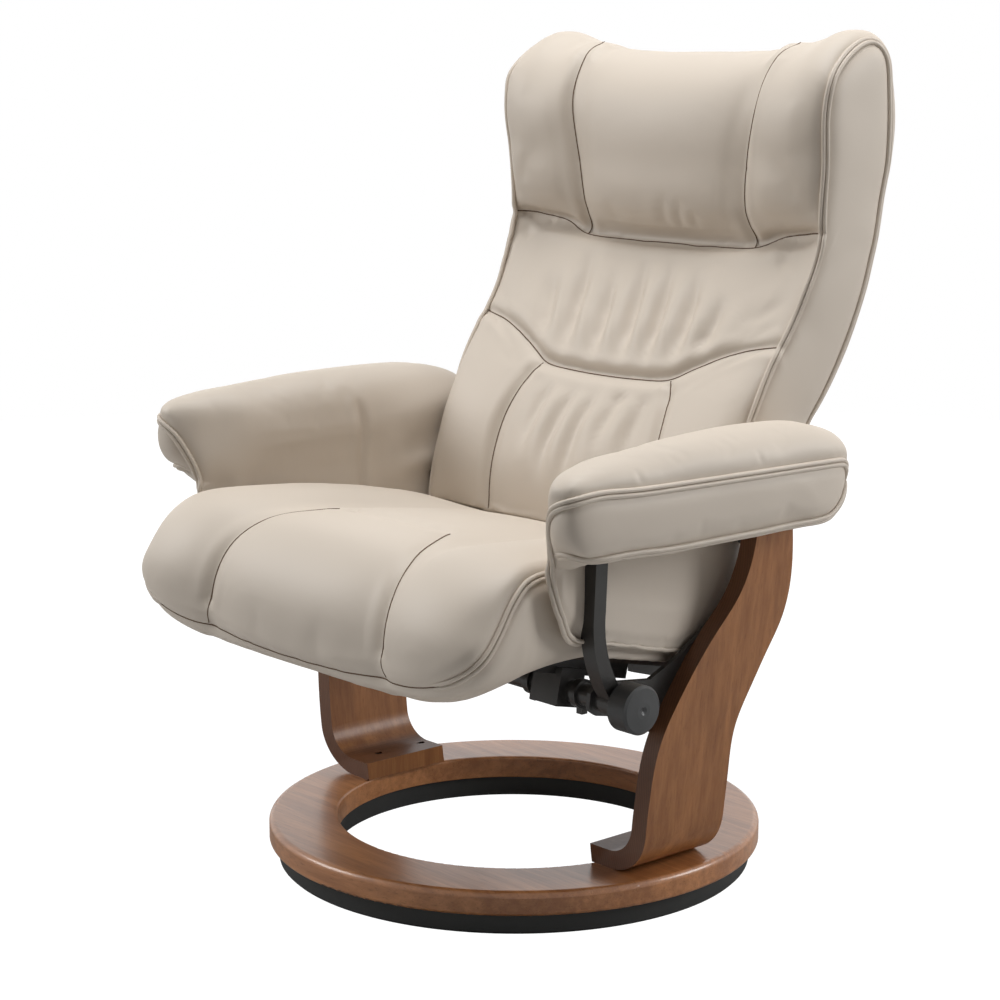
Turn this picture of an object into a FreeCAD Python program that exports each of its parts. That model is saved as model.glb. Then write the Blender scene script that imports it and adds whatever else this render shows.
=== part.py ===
import FreeCAD, Part
import math
import os
import re

import Sketcher
from FreeCAD import Placement, Rotation, Vector

# Swivel recliner on a ring base, in millimetres.
# The chair faces -Y, +X is the sitter's left, +Z is up, and the origin is the
# swivel axis on the floor. All driving sizes are in the sheet below.

SIZES = (
    # Levels and setbacks that the rest follows
    ("tube_setback", -150), ("tube_height", 307), ("pivot_setback", 116), ("pivot_rise", 159),
    ("pivot_height", "=tube_height + pivot_rise"), ("leg_over_pivot", 39),
    ("leg_top", "=pivot_height + leg_over_pivot"), ("arm_under_leg_top", 8),
    ("arm_low", "=leg_top - arm_under_leg_top"),
    # Floor ring, wood ring and the ball bearing between them
    ("wood_outer_radius", 330), ("wood_inner_radius", 238), ("wood_thickness", 31),
    ("wood_edge_round", 8), ("wood_inner_round", 4),
    ("floor_outer_radius", 317), ("floor_inner_radius", 244), ("floor_ring_height", 27),
    ("floor_edge_cut", 3), ("swivel_gap", 1), ("race_channel_depth", 14),
    ("race_pitch_radius", 280), ("race_width", 22), ("race_thickness", 5),
    ("ball_radius", 3.5), ("ball_count", 24), ("ball_play", 0.2),
    ("cage_thickness", 2.4), ("cage_width", 14),
    ("race_screw_count", 6), ("race_screw_radius", 2), ("race_screw_length", 16),
    # Bent legs
    ("leg_thickness", 25), ("leg_foot_reach", 226), ("leg_outer_face", 331),
    ("leg_datum_height", 150), ("leg_lean", 6.84), ("leg_bend_radius", 43),
    ("foot_hole_reach", 258), ("foot_hole_front", -28), ("foot_hole_rear", 50),
    ("foot_screw_radius", 3), ("foot_screw_head_radius", 6), ("foot_screw_head_height", 4),
    ("foot_screw_sink", 6), ("foot_screw_bite", 18), ("screw_play", 0.15),
    # Steel plates on the legs, their bolts and the recline pivot
    ("plate_thickness", 6), ("plate_eye_radius", 20),
    ("bolt_radius", 3.5), ("bolt_head_radius", 7), ("bolt_head_height", 4), ("bolt_bite", 17),
    ("pin_radius", 6), ("pin_play", 0.06), ("pin_inner_end", 222), ("pin_outer_end", 341),
    ("spacer_radius", 10), ("spacer_gap", 1),
    # Cross tube, arm brackets and knobs
    ("tube_radius", 14), ("tube_wall", 2),
    ("tube_half_length", 334), ("collar_radius", 18), ("collar_width", 10), ("collar_reach", 206),
    ("bar_width", 22), ("bar_depth", 19), ("bar_gap", 1), ("bar_eye_radius", 18),
    ("stud_radius", 8), ("stud_length", 52), ("stud_plug_length", 30), ("washer_radius", 13),
    ("washer_thickness", 4), ("knob_gap", 0.3), ("knob_radius", 30), ("knob_length", 33),
    ("knob_edge_cut", 3), ("knob_wall", 7), ("knob_dome", 1.5), ("knob_dimple_radius", 5),
    # Seat slide
    ("slide_slope", 13), ("slide_rise", 18), ("rail_reach", 250), ("rail_width", 24),
    ("rail_height", 20), ("rail_front", 104), ("rail_rear", 104), ("rail_play", 0.3),
    ("block_length", 40), ("block_side", 12), ("block_depth", 38), ("block_cheek", 9),
    ("seat_board_thickness", 18), ("seat_board_half_width", 270), ("seat_board_front", 104),
    ("seat_board_rear", 236), ("seat_board_edge", 8),
    # Seat
    ("seat_half_width", 342), ("seat_rear_half_width", 297), ("seat_front", -366),
    ("seat_rear", 97), ("seat_channel", 0.51), ("seat_crown", 13), ("seat_side_crown", 17),
    ("seat_channel_depth", 6), ("seat_toe_rise", 25),
    ("seat_toe_height", "=tube_height + seat_toe_rise"), ("seat_lip_drop", 14),
    ("seat_lip_reach", 200), ("seat_knee_rise", 92), ("seat_brow_rise", 39), ("seat_top_rise", 17),
    ("seat_top_height", "=seat_toe_height + seat_knee_rise + seat_brow_rise + seat_top_rise"),
    ("seat_middle_drop", 19), ("seat_heel_drop", 46), ("seat_corner_pull", 34),
    ("seat_corner_rise", 48), ("seat_front_bow", 20), ("seat_cross_seam", -55),
    ("seat_seam_radius", 16), ("seat_seam_depth", 4),
    # Seat hinge, where the back pushes the seat
    ("lug_reach", 200), ("lug_thickness", 8), ("lug_drop", 34), ("drive_pin_radius", 5),
    ("drive_pin_setback", 121), ("drive_arm", 140),
    ("drive_pin_height", "=pivot_height - drive_arm"), ("slot_half_width", 9),
    ("slot_half_height", 13),
    # Arms
    ("arm_outer_face", 420), ("arm_inner_front", 336), ("arm_inner_rear", 304),
    ("arm_front", -290), ("arm_flare_front", -266), ("arm_flare_rear", 60),
    ("arm_ridge", 0.6), ("arm_panel_thickness", 9), ("arm_panel_rear", 60),
    ("arm_panel_tail", 120), ("arm_tail_drop", 82), ("arm_sole", 1),
    ("arm_board_thickness", 15), ("arm_board_front", -235), ("arm_board_rear", 138),
    ("arm_board_inset", 12),
    # Back
    ("back_under_pivot", 22), ("back_bottom", "=pivot_height - back_under_pivot"),
    ("shell_drop", 39), ("lower_length", 185), ("waist_height", "=back_bottom + lower_length"),
    ("lumbar_length", 182), ("neck_height", "=waist_height + lumbar_length"), ("head_length", 252),
    ("back_top", "=neck_height + head_length"), ("back_wing_rise", 34), ("back_wing_fall", 34),
    ("back_half_bottom", 278), ("back_half_top", 310),
    ("back_roll", 84), ("shell_depth", 58), ("shell_corner", 40), ("back_crown", 17),
    ("back_channel_depth", 5), ("head_crown", 16), ("head_side_crown", 20),
    ("waist_rise", 74), ("neck_rise", 26), ("lumbar_crown", 18),
    ("seam_gap", 0.4), ("back_channel_low", 0.48), ("back_channel_high", 0.54),
    ("back_board_half_width", 196), ("back_board_thickness", 9), ("back_board_inset", 50),
    ("strut_reach", 228), ("strut_thickness", 8), ("strut_width", 30),
    ("strut_over_neck", 89), ("strut_top", "=neck_height + strut_over_neck"),
    ("strut_foot_radius", 15), ("tie_radius", 9), ("tie_inset", 20),
    ("tie_low_rise", 76), ("tie_low", "=back_bottom + tie_low_rise"), ("tie_high", "=strut_top - tie_inset"),
)

# Side view of a leg: share of its height, front edge and rear edge along Y.
LEG_SHAPE = (
    (0.0, -70, 68), (0.1, -75, 63), (0.25, -75, 63), (0.4, -66, 67), (0.51, -43, 89),
    (0.6, -18, 110), (0.69, 12, 131), (0.79, 48, 140), (0.9, 65, 137), (1.0, 66, 129),
)
# Arm along Y: offset from its front end, then low edge, welt and top line above arm_low, then
# how far the inner and the outer face are drawn in.
ARM_SHAPE = (
    (0, 46, 74, 86, 37, 14), (6, 38, 79, 94, 25, 7), (16, 28, 83, 101, 14, 3),
    (32, 21, 85, 106, 5, 1), (60, 16, 85, 111, 0, 0), (116, 5, 85, 115, 0, 0),
    (188, 0, 85, 121, 0, 0), (300, 0, 85, 124, 0, 0), (390, 0, 85, 122, 0, 0),
    (436, 3, 84, 117, 0, 1), (459, 12, 83, 111, 2, 6), (480, 24, 82, 103, 8, 15),
    (493, 38, 80, 94, 18, 25), (499, 48, 76, 87, 27, 34),
)
# Edge of the panel below the arm, back from its front end and up from arm_low.
ARM_PANEL = ((4, 0), (4, -18), (11, -43), (20, -68), (32, -90), (48, -104), (74, -114),
             (112, -122), (192, -142), (274, -160))
# Rim of the seat's top panel on the side, back from the seat's front and up from its toe.
SEAT_RIM = ((4, 2), (18, 50), (40, 84), (60, 114), (83, 134), (114, 144), (148, 144))
# The welt along the back's side and the outline of its rear, back and up from the pivot.
WELT_SHAPE = ((-20, -22), (3, 77), (21, 134), (59, 202), (98, 264), (131, 339), (139, 396),
              (145, 455), (135, 525), (139, 579))
REAR_SHAPE = ((98, -61), (136, 34), (174, 123), (258, 307), (296, 419), (311, 521), (296, 592))

# Share of the half width where padded pieces start to round off, and the room left by tools.
ROUND_START = 0.76
CLEAR = 90

doc = FreeCAD.newDocument("swivel_recliner")
sheet = doc.addObject("Spreadsheet::Sheet", "sizes")
for row, (alias, value) in enumerate(SIZES, 1):
    sheet.set("A%d" % row, alias)
    sheet.set("B%d" % row, str(value))
    sheet.setAlias("B%d" % row, alias)
doc.recompute()
aliases = {alias for alias, value in SIZES}
nodes = []


def from_pivot(shape):
    return [(sheet.pivot_setback + y, sheet.pivot_height + z) for y, z in shape]


BACK_SIDE = from_pivot(WELT_SHAPE)
BACK_REAR = from_pivot(REAR_SHAPE)


def formula(text):
    """A formula in words, such as 'leg_top - 5', with each size read from the sheet."""
    return re.sub(r"[a-z_]+", lambda word: "sizes." + word.group(0) if word.group(0) in aliases
                  else word.group(0), text)


def bind(item, **formulas):
    for name, text in formulas.items():
        item.setExpression(name, formula(text))


def move(item, **formulas):
    for axis, text in formulas.items():
        item.setExpression("Placement.Base." + axis, formula(text))


def node(item, label):
    item.Label = label
    nodes.append(item)
    return item


def cosine(degrees):
    return math.cos(math.radians(degrees))


def sine(degrees):
    return math.sin(math.radians(degrees))


# Primitives with their sizes bound to the sheet

def box(name, corner, lengths):
    item = doc.addObject("Part::Box", name)
    bind(item, Length=lengths[0], Width=lengths[1], Height=lengths[2])
    move(item, x=corner[0], y=corner[1], z=corner[2])
    return item


def cylinder_x(name, radius, length, start, y, z):
    """A cylinder that runs along +X from start."""
    item = doc.addObject("Part::Cylinder", name)
    item.Placement = Placement(Vector(), Rotation(Vector(0, 1, 0), 90))
    bind(item, Radius=radius, Height=length)
    move(item, x=start, y=y, z=z)
    return item


def on_slide(item, y, z):
    """Tilts a box with the seat slide; y and z are measured along and square to the slide."""
    item.Placement = Placement(Vector(), Rotation(Vector(1, 0, 0), 1))
    item.setExpression("Placement.Rotation.Angle", formula("-slide_slope"))
    item.setExpression("Placement.Base.y", formula(
        "tube_setback + (%s) * cos(slide_slope) + (%s) * sin(slide_slope)" % (y, z)))
    item.setExpression("Placement.Base.z", formula(
        "tube_height + slide_rise - (%s) * sin(slide_slope) + (%s) * cos(slide_slope)" % (y, z)))
    return item


def slide_box(name, x, y, z, lengths):
    item = box(name, (x, "0", "0"), lengths)
    return on_slide(item, y, z)


def fuse(name, *items):
    item = doc.addObject("Part::MultiFuse", name)
    item.Shapes = list(items)
    return item


def cut(name, base, *tools):
    item = doc.addObject("Part::Cut", name)
    item.Base = base
    item.Tool = tools[0] if len(tools) == 1 else fuse(name + "_tools", *tools)
    return item


def mirrored(name, source):
    item = doc.addObject("Part::Mirroring", name)
    item.Source = source
    item.Base = Vector()
    item.Normal = Vector(1, 0, 0)
    return item


def feature(name, shape):
    item = doc.addObject("Part::Feature", name)
    item.Shape = shape
    return item


# Bodies from a sketched outline

def outline(body, name, role, corners):
    """A closed outline on one of the body's own planes, each corner held by the sheet."""
    sketch = body.newObject("Sketcher::SketchObject", name)
    plane = [item for item in body.Origin.OriginFeatures if item.Role == role][0]
    sketch.AttachmentSupport = (plane, "")
    sketch.MapMode = "FlatFace"
    count = len(corners)
    turn = 2 * math.pi / count
    start = [Vector(100 * math.cos(turn * k), 100 * math.sin(turn * k), 0) for k in range(count)]
    for k in range(count):
        sketch.addGeometry(Part.LineSegment(start[k], start[(k + 1) % count]), False)
    for k in range(count):
        sketch.addConstraint(Sketcher.Constraint("Coincident", k, 2, (k + 1) % count, 1))
    for k, corner in enumerate(corners):
        for kind, text, axis in (("DistanceX", corner[0], -2), ("DistanceY", corner[1], -1)):
            if text == "0":
                sketch.addConstraint(Sketcher.Constraint("PointOnObject", k, 1, axis))
            else:
                index = sketch.addConstraint(Sketcher.Constraint(kind, -1, 1, k, 1, 10.0))
                sketch.setExpression("Constraints[%d]" % index, formula(text))
    return sketch


def turned(name, corners, axis="V_Axis"):
    body = doc.addObject("PartDesign::Body", name)
    sketch = outline(body, name + "_section", "XZ_Plane", corners)
    turn = body.newObject("PartDesign::Revolution", name + "_turn")
    turn.Profile = sketch
    turn.ReferenceAxis = (sketch, [axis])
    turn.Angle = 360
    doc.recompute()
    return body


def padded(name, role, corners, length, midplane=False):
    body = doc.addObject("PartDesign::Body", name)
    sketch = outline(body, name + "_outline", role, corners)
    pad = body.newObject("PartDesign::Pad", name + "_pad")
    pad.Profile = sketch
    pad.Midplane = midplane
    bind(pad, Length=length)
    doc.recompute()
    return body


def edges_near(shape, spots, reach=1.0):
    """Names of the edges whose middle lies on the given (x, z) places."""
    names = []
    for index, edge in enumerate(shape.Edges, 1):
        middle = edge.CenterOfMass
        if any(math.hypot(middle.x - x, middle.z - z) < reach for x, z in spots):
            names.append("Edge%d" % index)
    return names


# Curves and lofts for the shaped pieces

def arc(first, middle, last):
    return Part.Arc(Vector(*first), Vector(*middle), Vector(*last)).toShape()


def line(first, last):
    return Part.makeLine(Vector(*first), Vector(*last))


def spline(points):
    curve = Part.BSplineCurve()
    curve.interpolate([Vector(*point) for point in points])
    return curve.toShape()


def loft(wires):
    return Part.makeLoft(wires, True, False)


def slab(edges, start, width):
    """The closed outline of the edges, which lie at x = 0, made solid from x = start."""
    face = Part.Face(Part.Wire(edges))
    face.translate(Vector(start, 0, 0))
    return face.extrude(Vector(width, 0, 0))


def at_side(point, x):
    return (x, point[0], point[1])


def slope_at(points, index):
    """How fast y grows with z at a point of a chain, from its two neighbours."""
    low = points[max(index - 1, 0)]
    high = points[min(index + 1, len(points) - 1)]
    return (high[0] - low[0]) / (high[1] - low[1])


def between(points, height):
    """The y at a height on a smooth curve through a chain of (y, z) points."""
    index = 0
    while index < len(points) - 2 and height > points[index + 1][1]:
        index += 1
    low, high = points[index], points[index + 1]
    span = high[1] - low[1]
    share = (height - low[1]) / span
    if share < 0 or share > 1:
        end = (high, index + 1) if share > 1 else (low, index)
        return end[0][0] + slope_at(points, end[1]) * (height - end[0][1])
    rise = high[0] - low[0]
    start = slope_at(points, index) * span - rise
    finish = rise - slope_at(points, index + 1) * span
    return low[0] + share * rise + share * (1 - share) * (start * (1 - share) + finish * share)


# Floor ring and bearing

def floor_ring():
    edge = "floor_edge_cut"
    channel = "race_width / 2 + 1"
    body = turned("floor_ring", (
        ("floor_inner_radius", "0"), ("floor_outer_radius - " + edge, "0"),
        ("floor_outer_radius", edge), ("floor_outer_radius", "floor_ring_height"),
        ("race_pitch_radius + " + channel, "floor_ring_height"),
        ("race_pitch_radius + " + channel, "floor_ring_height - race_channel_depth"),
        ("race_pitch_radius - (%s)" % channel, "floor_ring_height - race_channel_depth"),
        ("race_pitch_radius - (%s)" % channel, "floor_ring_height"),
        ("floor_inner_radius", "floor_ring_height")))
    node(body, "floor_ring")


def ball_level():
    """Height of the ball centres, half way between the two races."""
    low = sheet.floor_ring_height - sheet.race_channel_depth
    high = sheet.floor_ring_height + sheet.swivel_gap
    return (low + high) / 2


def bearing():
    low = "floor_ring_height - race_channel_depth"
    high = "floor_ring_height + swivel_gap"
    inner = "race_pitch_radius - race_width / 2"
    outer = "race_pitch_radius + race_width / 2"
    groove = doc.addObject("Part::Torus", "ball_groove")
    bind(groove, Radius1="race_pitch_radius", Radius2="ball_radius + ball_play")
    move(groove, z="(%s + %s) / 2" % (low, high))
    lower = turned("lower_race_ring", (
        (inner, low), (outer, low), (outer, low + " + race_thickness"),
        (inner, low + " + race_thickness")))
    upper = turned("upper_race_ring", (
        (inner, high + " - race_thickness"), (outer, high + " - race_thickness"),
        (outer, high), (inner, high)))
    node(cut("lower_race", lower, groove), "lower_race")
    tools = race_holes()
    node(cut("upper_race", upper, groove, tools), "upper_race")
    level = ball_level()
    count = int(sheet.ball_count)
    spots = [Vector(sheet.race_pitch_radius * cosine(360 * k / count),
                    sheet.race_pitch_radius * sine(360 * k / count), level) for k in range(count)]
    balls = [Part.makeSphere(sheet.ball_radius, spot) for spot in spots]
    node(feature("bearing_balls", Part.makeCompound(balls)), "bearing_balls")
    half = sheet.cage_thickness / 2
    base = Vector(0, 0, level - half)
    cage = Part.makeCylinder(sheet.race_pitch_radius + sheet.cage_width / 2, 2 * half, base)
    cage = cage.cut(Part.makeCylinder(sheet.race_pitch_radius - sheet.cage_width / 2, 2 * half, base))
    pockets = [Part.makeCylinder(sheet.ball_radius + sheet.ball_play, 2 * half,
                                 spot - Vector(0, 0, half)) for spot in spots]
    node(feature("ball_cage", cage.cut(pockets)), "ball_cage")


def race_spots():
    """Screw places in the upper race, outside the ball groove."""
    count = int(sheet.race_screw_count)
    radius = sheet.race_pitch_radius + sheet.race_width / 2 - sheet.race_screw_radius - 2.5
    return [Vector(radius * cosine(360 * (k + 0.5) / count), radius * sine(360 * (k + 0.5) / count), 0)
            for k in range(count)]


def race_top():
    return sheet.floor_ring_height + sheet.swivel_gap


def race_holes():
    radius = sheet.race_screw_radius + sheet.screw_play
    low = race_top() - sheet.race_thickness
    high = race_top() + sheet.race_screw_length
    holes = [Part.makeCylinder(radius, high - low, spot + Vector(0, 0, low)) for spot in race_spots()]
    return feature("race_holes", Part.makeCompound(holes))


def race_screws():
    low = race_top() - sheet.race_thickness + 0.5
    length = sheet.race_screw_length + sheet.race_thickness - 1
    screws = [Part.makeCylinder(sheet.race_screw_radius, length, spot + Vector(0, 0, low))
              for spot in race_spots()]
    node(feature("race_screws", Part.makeCompound(screws)), "race_screws")


# Wood ring, legs and the screws that hold them

def foot_spots():
    reach = sheet.foot_hole_reach
    return [Vector(side * reach, y, 0) for side in (1, -1)
            for y in (sheet.foot_hole_front, sheet.foot_hole_rear)]


def ring_top():
    return race_top() + sheet.wood_thickness


def foot_holes():
    """The screw holes with their sunk heads, through the feet and into the wood ring."""
    top = ring_top() + sheet.leg_thickness
    low = ring_top() - sheet.foot_screw_bite
    tools = []
    for spot in foot_spots():
        shank = Part.makeCylinder(sheet.foot_screw_radius + sheet.screw_play, top - low,
                                  spot + Vector(0, 0, low))
        head = Part.makeCylinder(sheet.foot_screw_head_radius + 2 * sheet.screw_play,
                                 sheet.foot_screw_sink,
                                 spot + Vector(0, 0, top - sheet.foot_screw_sink))
        tools.append(shank.fuse(head))
    return feature("foot_holes", Part.makeCompound(tools))


def foot_screws():
    seat = ring_top() + sheet.leg_thickness - sheet.foot_screw_sink
    low = ring_top() - sheet.foot_screw_bite + 1
    screws = []
    for spot in foot_spots():
        shank = Part.makeCylinder(sheet.foot_screw_radius, seat - low, spot + Vector(0, 0, low))
        head = Part.makeCylinder(sheet.foot_screw_head_radius, sheet.foot_screw_head_height,
                                 spot + Vector(0, 0, seat))
        socket = Part.makeCylinder(sheet.foot_screw_radius * 0.8, sheet.foot_screw_head_height / 2,
                                   spot + Vector(0, 0, seat + sheet.foot_screw_head_height / 2))
        screws.append(shank.fuse(head).removeSplitter().cut(socket))
    node(feature("foot_screws", Part.makeCompound(screws)), "foot_screws")


def wood_ring(holes, race_tools):
    low = "floor_ring_height + swivel_gap"
    high = low + " + wood_thickness"
    blank = turned("wood_ring_blank", (
        ("wood_inner_radius", low), ("wood_outer_radius", low), ("wood_outer_radius", high),
        ("wood_inner_radius", high)))
    top = ring_top()
    rounding = doc.addObject("Part::Fillet", "wood_ring_round")
    rounding.Base = blank
    rounds = []
    for index, edge in enumerate(blank.Shape.Edges, 1):
        if edge.BoundBox.ZMin < race_top() - 1 or edge.BoundBox.ZLength > 1:
            continue
        outer = edge.BoundBox.XMax > (sheet.wood_outer_radius + sheet.wood_inner_radius) / 2
        if edge.BoundBox.ZMin > top - 1:
            radius = sheet.wood_edge_round if outer else sheet.wood_inner_round
        else:
            radius = sheet.wood_inner_round if outer else 1.5
        rounds.append((index, radius, radius))
    rounding.Edges = rounds
    node(cut("wood_ring", rounding, holes, race_tools), "wood_ring")


def leg_plane(height):
    """The x of the leg's inner face at a height."""
    outer = sheet.leg_outer_face + (height - sheet.leg_datum_height) * math.tan(
        math.radians(sheet.leg_lean))
    return outer - sheet.leg_thickness / cosine(sheet.leg_lean)


def lean_place():
    """The frame of the leg's inner face: x = 0 on the face, z up along it."""
    return Placement(Vector(leg_plane(sheet.leg_datum_height), 0, sheet.leg_datum_height),
                     Rotation(Vector(0, 1, 0), sheet.leg_lean))


def leg_blank():
    low = "(floor_ring_height + swivel_gap + wood_thickness)"
    outer = "leg_outer_face + (%s - leg_datum_height) * tan(leg_lean)"
    inner = outer + " - leg_thickness / cos(leg_lean)"
    knee = low + " + leg_thickness"
    body = padded("leg_blank", "XZ_Plane", (
        ("leg_foot_reach", low), (outer % low, low), (outer % "leg_top", "leg_top"),
        (inner % "leg_top", "leg_top"), (inner % ("(%s)" % knee), knee),
        ("leg_foot_reach", knee)), "leg_top", midplane=True)
    low_z = ring_top()
    knee_z = low_z + sheet.leg_thickness
    outer_x = leg_plane(low_z) + sheet.leg_thickness / cosine(sheet.leg_lean)
    bends = (("leg_outer_bend", (outer_x, low_z), "leg_bend_radius + leg_thickness"),
             ("leg_inner_bend", (leg_plane(knee_z), knee_z), "leg_bend_radius"))
    for name, spot, radius in bends:
        base = body.Tip
        bend = body.newObject("PartDesign::Fillet", name)
        bend.Base = (base, edges_near(base.Shape, [spot]))
        bind(bend, Radius=radius)
        body.Tip = bend
        doc.recompute()
    return body


def leg_outline():
    low, rise = ring_top(), sheet.leg_top - ring_top()
    front = [(0, y, low + share * rise) for share, y, rear in LEG_SHAPE]
    rear = [(0, y, low + share * rise) for share, front_y, y in LEG_SHAPE]
    edges = [spline(front), line(front[-1], rear[-1]), spline(rear[::-1]), line(rear[0], front[0])]
    return feature("leg_outline", slab(edges, sheet.leg_foot_reach - CLEAR, 3 * CLEAR))


def legs(holes, bolt_tools):
    shaped = doc.addObject("Part::Common", "leg_shape")
    shaped.Base = leg_blank()
    shaped.Tool = leg_outline()
    left = cut("leg_left", shaped, holes, bolt_tools)
    node(left, "leg_left")
    node(mirrored("leg_right", left), "leg_right")


# Steel plates on the legs

def bolt_spots():
    """Bolt places on the leg's inner face, as y and height along the face."""
    lean = cosine(sheet.leg_lean)
    tube = (sheet.tube_height - sheet.leg_datum_height) / lean
    pivot = (sheet.pivot_height - sheet.leg_datum_height) / lean
    return ((sheet.tube_setback + 158, tube - 28), (sheet.tube_setback + 195, tube + 22),
            (sheet.pivot_setback - 13, pivot - 40))


def bolt_shapes(radius, head_radius, bite, head_height):
    """Bolts square to the leg's face: a head on the plate and a shank into the wood."""
    place = lean_place()
    shapes = []
    for y, z in bolt_spots():
        start = Vector(-sheet.plate_thickness, y, z)
        shape = Part.makeCylinder(radius, sheet.plate_thickness + bite, start, Vector(1, 0, 0))
        if head_height:
            head = Part.makeCylinder(head_radius, head_height, start, Vector(-1, 0, 0))
            shape = shape.fuse(head).removeSplitter()
        shape.Placement = place
        shapes.append(shape)
    return shapes


def leg_bolts():
    left = bolt_shapes(sheet.bolt_radius, sheet.bolt_head_radius, sheet.bolt_bite - 1,
                       sheet.bolt_head_height)
    right = [shape.mirror(Vector(), Vector(1, 0, 0)) for shape in left]
    node(feature("leg_bolts", Part.makeCompound(left + right)), "leg_bolts")


def leg_plates(bolt_tools):
    tube = "(tube_height - leg_datum_height) / cos(leg_lean)"
    pivot = "(pivot_height - leg_datum_height) / cos(leg_lean)"
    eye = "plate_eye_radius"
    blank = padded("leg_plate_blank", "YZ_Plane", (
        ("tube_setback - " + eye, tube + " - 12"), ("tube_setback - 8", tube + " - " + eye),
        ("tube_setback + 20", tube + " - 26"), ("tube_setback + 88", tube + " - 60"),
        ("tube_setback + 160", tube + " - 56"), ("pivot_setback - 26", tube + " - 10"),
        ("pivot_setback + 18", pivot + " - 44"), ("pivot_setback + 18", pivot + " + 14"),
        ("pivot_setback + 8", pivot + " + 20"), ("pivot_setback - 12", pivot + " + 20"),
        ("pivot_setback - 30", pivot + " - 50"), ("tube_setback + 130", tube + " + 34"),
        ("tube_setback + 80", tube + " + 10"), ("tube_setback + 4", tube + " + " + eye),
        ("tube_setback - 12", tube + " + " + eye), ("tube_setback - " + eye, tube + " + 10")),
        "plate_thickness")
    blank.Placement = Placement(Vector(), Rotation(Vector(0, 1, 0), 1))
    blank.setExpression("Placement.Rotation.Angle", formula("leg_lean"))
    move(blank, x="leg_outer_face - (leg_thickness + plate_thickness * cos(leg_lean) ^ 2) / cos(leg_lean)",
         z="leg_datum_height + plate_thickness * sin(leg_lean)")
    through = str(2 * CLEAR)
    hole = cylinder_x("plate_tube_hole", "tube_radius + pin_play", through,
                      "tube_half_length - %d" % CLEAR, "tube_setback", "tube_height")
    pivot_hole = cylinder_x("plate_pivot_hole", "pin_radius + pin_play", through,
                            "pin_outer_end - %d" % CLEAR, "pivot_setback", "pivot_height")
    left = cut("leg_plate_left", blank, hole, pivot_hole, bolt_tools)
    node(left, "leg_plate_left")
    node(mirrored("leg_plate_right", left), "leg_plate_right")


# Cross tube, collars, arm brackets and knobs

def cross_tube():
    outer = cylinder_x("tube_outside", "tube_radius", "2 * tube_half_length", "-tube_half_length",
                       "tube_setback", "tube_height")
    bore = cylinder_x("tube_bore", "tube_radius - tube_wall", "2 * tube_half_length",
                      "-tube_half_length", "tube_setback", "tube_height")
    node(cut("cross_tube", outer, bore), "cross_tube")
    collars = []
    for side in (1, -1):
        for offset in (0, sheet.rail_reach + 40 - sheet.collar_reach):
            start = side * (sheet.collar_reach + offset)
            base = Vector(start - sheet.collar_width / 2, sheet.tube_setback, sheet.tube_height)
            ring = Part.makeCylinder(sheet.collar_radius, sheet.collar_width, base, Vector(1, 0, 0))
            lug = Part.makeBox(sheet.collar_width, 9, sheet.collar_radius + 7,
                               base + Vector(0, -4.5, -sheet.collar_radius - 7))
            bore_tool = Part.makeCylinder(sheet.tube_radius + sheet.pin_play, sheet.collar_width,
                                          base, Vector(1, 0, 0))
            collars.append(ring.fuse(lug).removeSplitter().cut(bore_tool))
    node(feature("tube_collars", Part.makeCompound(collars)), "tube_collars")


def arm_brackets():
    y, z, depth = sheet.tube_setback, sheet.tube_height, sheet.bar_depth
    top = sheet.leg_top
    knee = z + 117
    front = (y - 45, knee)
    rear = (y - 45 + depth, knee)
    toe = (y - 17, z + 8)
    heel = (y + 4, z + 14)
    edges = [
        line((0, front[0] + 4, top), at_side(front, 0)),
        arc(at_side(front, 0), (0, y - 40, z + 58), at_side(toe, 0)),
        line(at_side(toe, 0), at_side(heel, 0)),
        arc(at_side(heel, 0), (0, y - 21, z + 62), at_side(rear, 0)),
        line(at_side(rear, 0), (0, rear[0] + 4, top)),
        line((0, rear[0] + 4, top), (0, front[0] + 4, top))]
    start = sheet.tube_half_length + sheet.bar_gap
    bar = slab(edges, start, sheet.bar_width)
    base = Vector(start, y, z)
    eye = Part.makeCylinder(sheet.bar_eye_radius, sheet.bar_width, base, Vector(1, 0, 0))
    bore = Part.makeCylinder(sheet.stud_radius + sheet.pin_play, sheet.bar_width, base, Vector(1, 0, 0))
    left = feature("arm_bracket_left", bar.fuse(eye).cut(bore))
    node(left, "arm_bracket_left")
    node(mirrored("arm_bracket_right", left), "arm_bracket_right")


KNOB_START = "tube_half_length + bar_gap + bar_width + washer_thickness + knob_gap"


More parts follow.
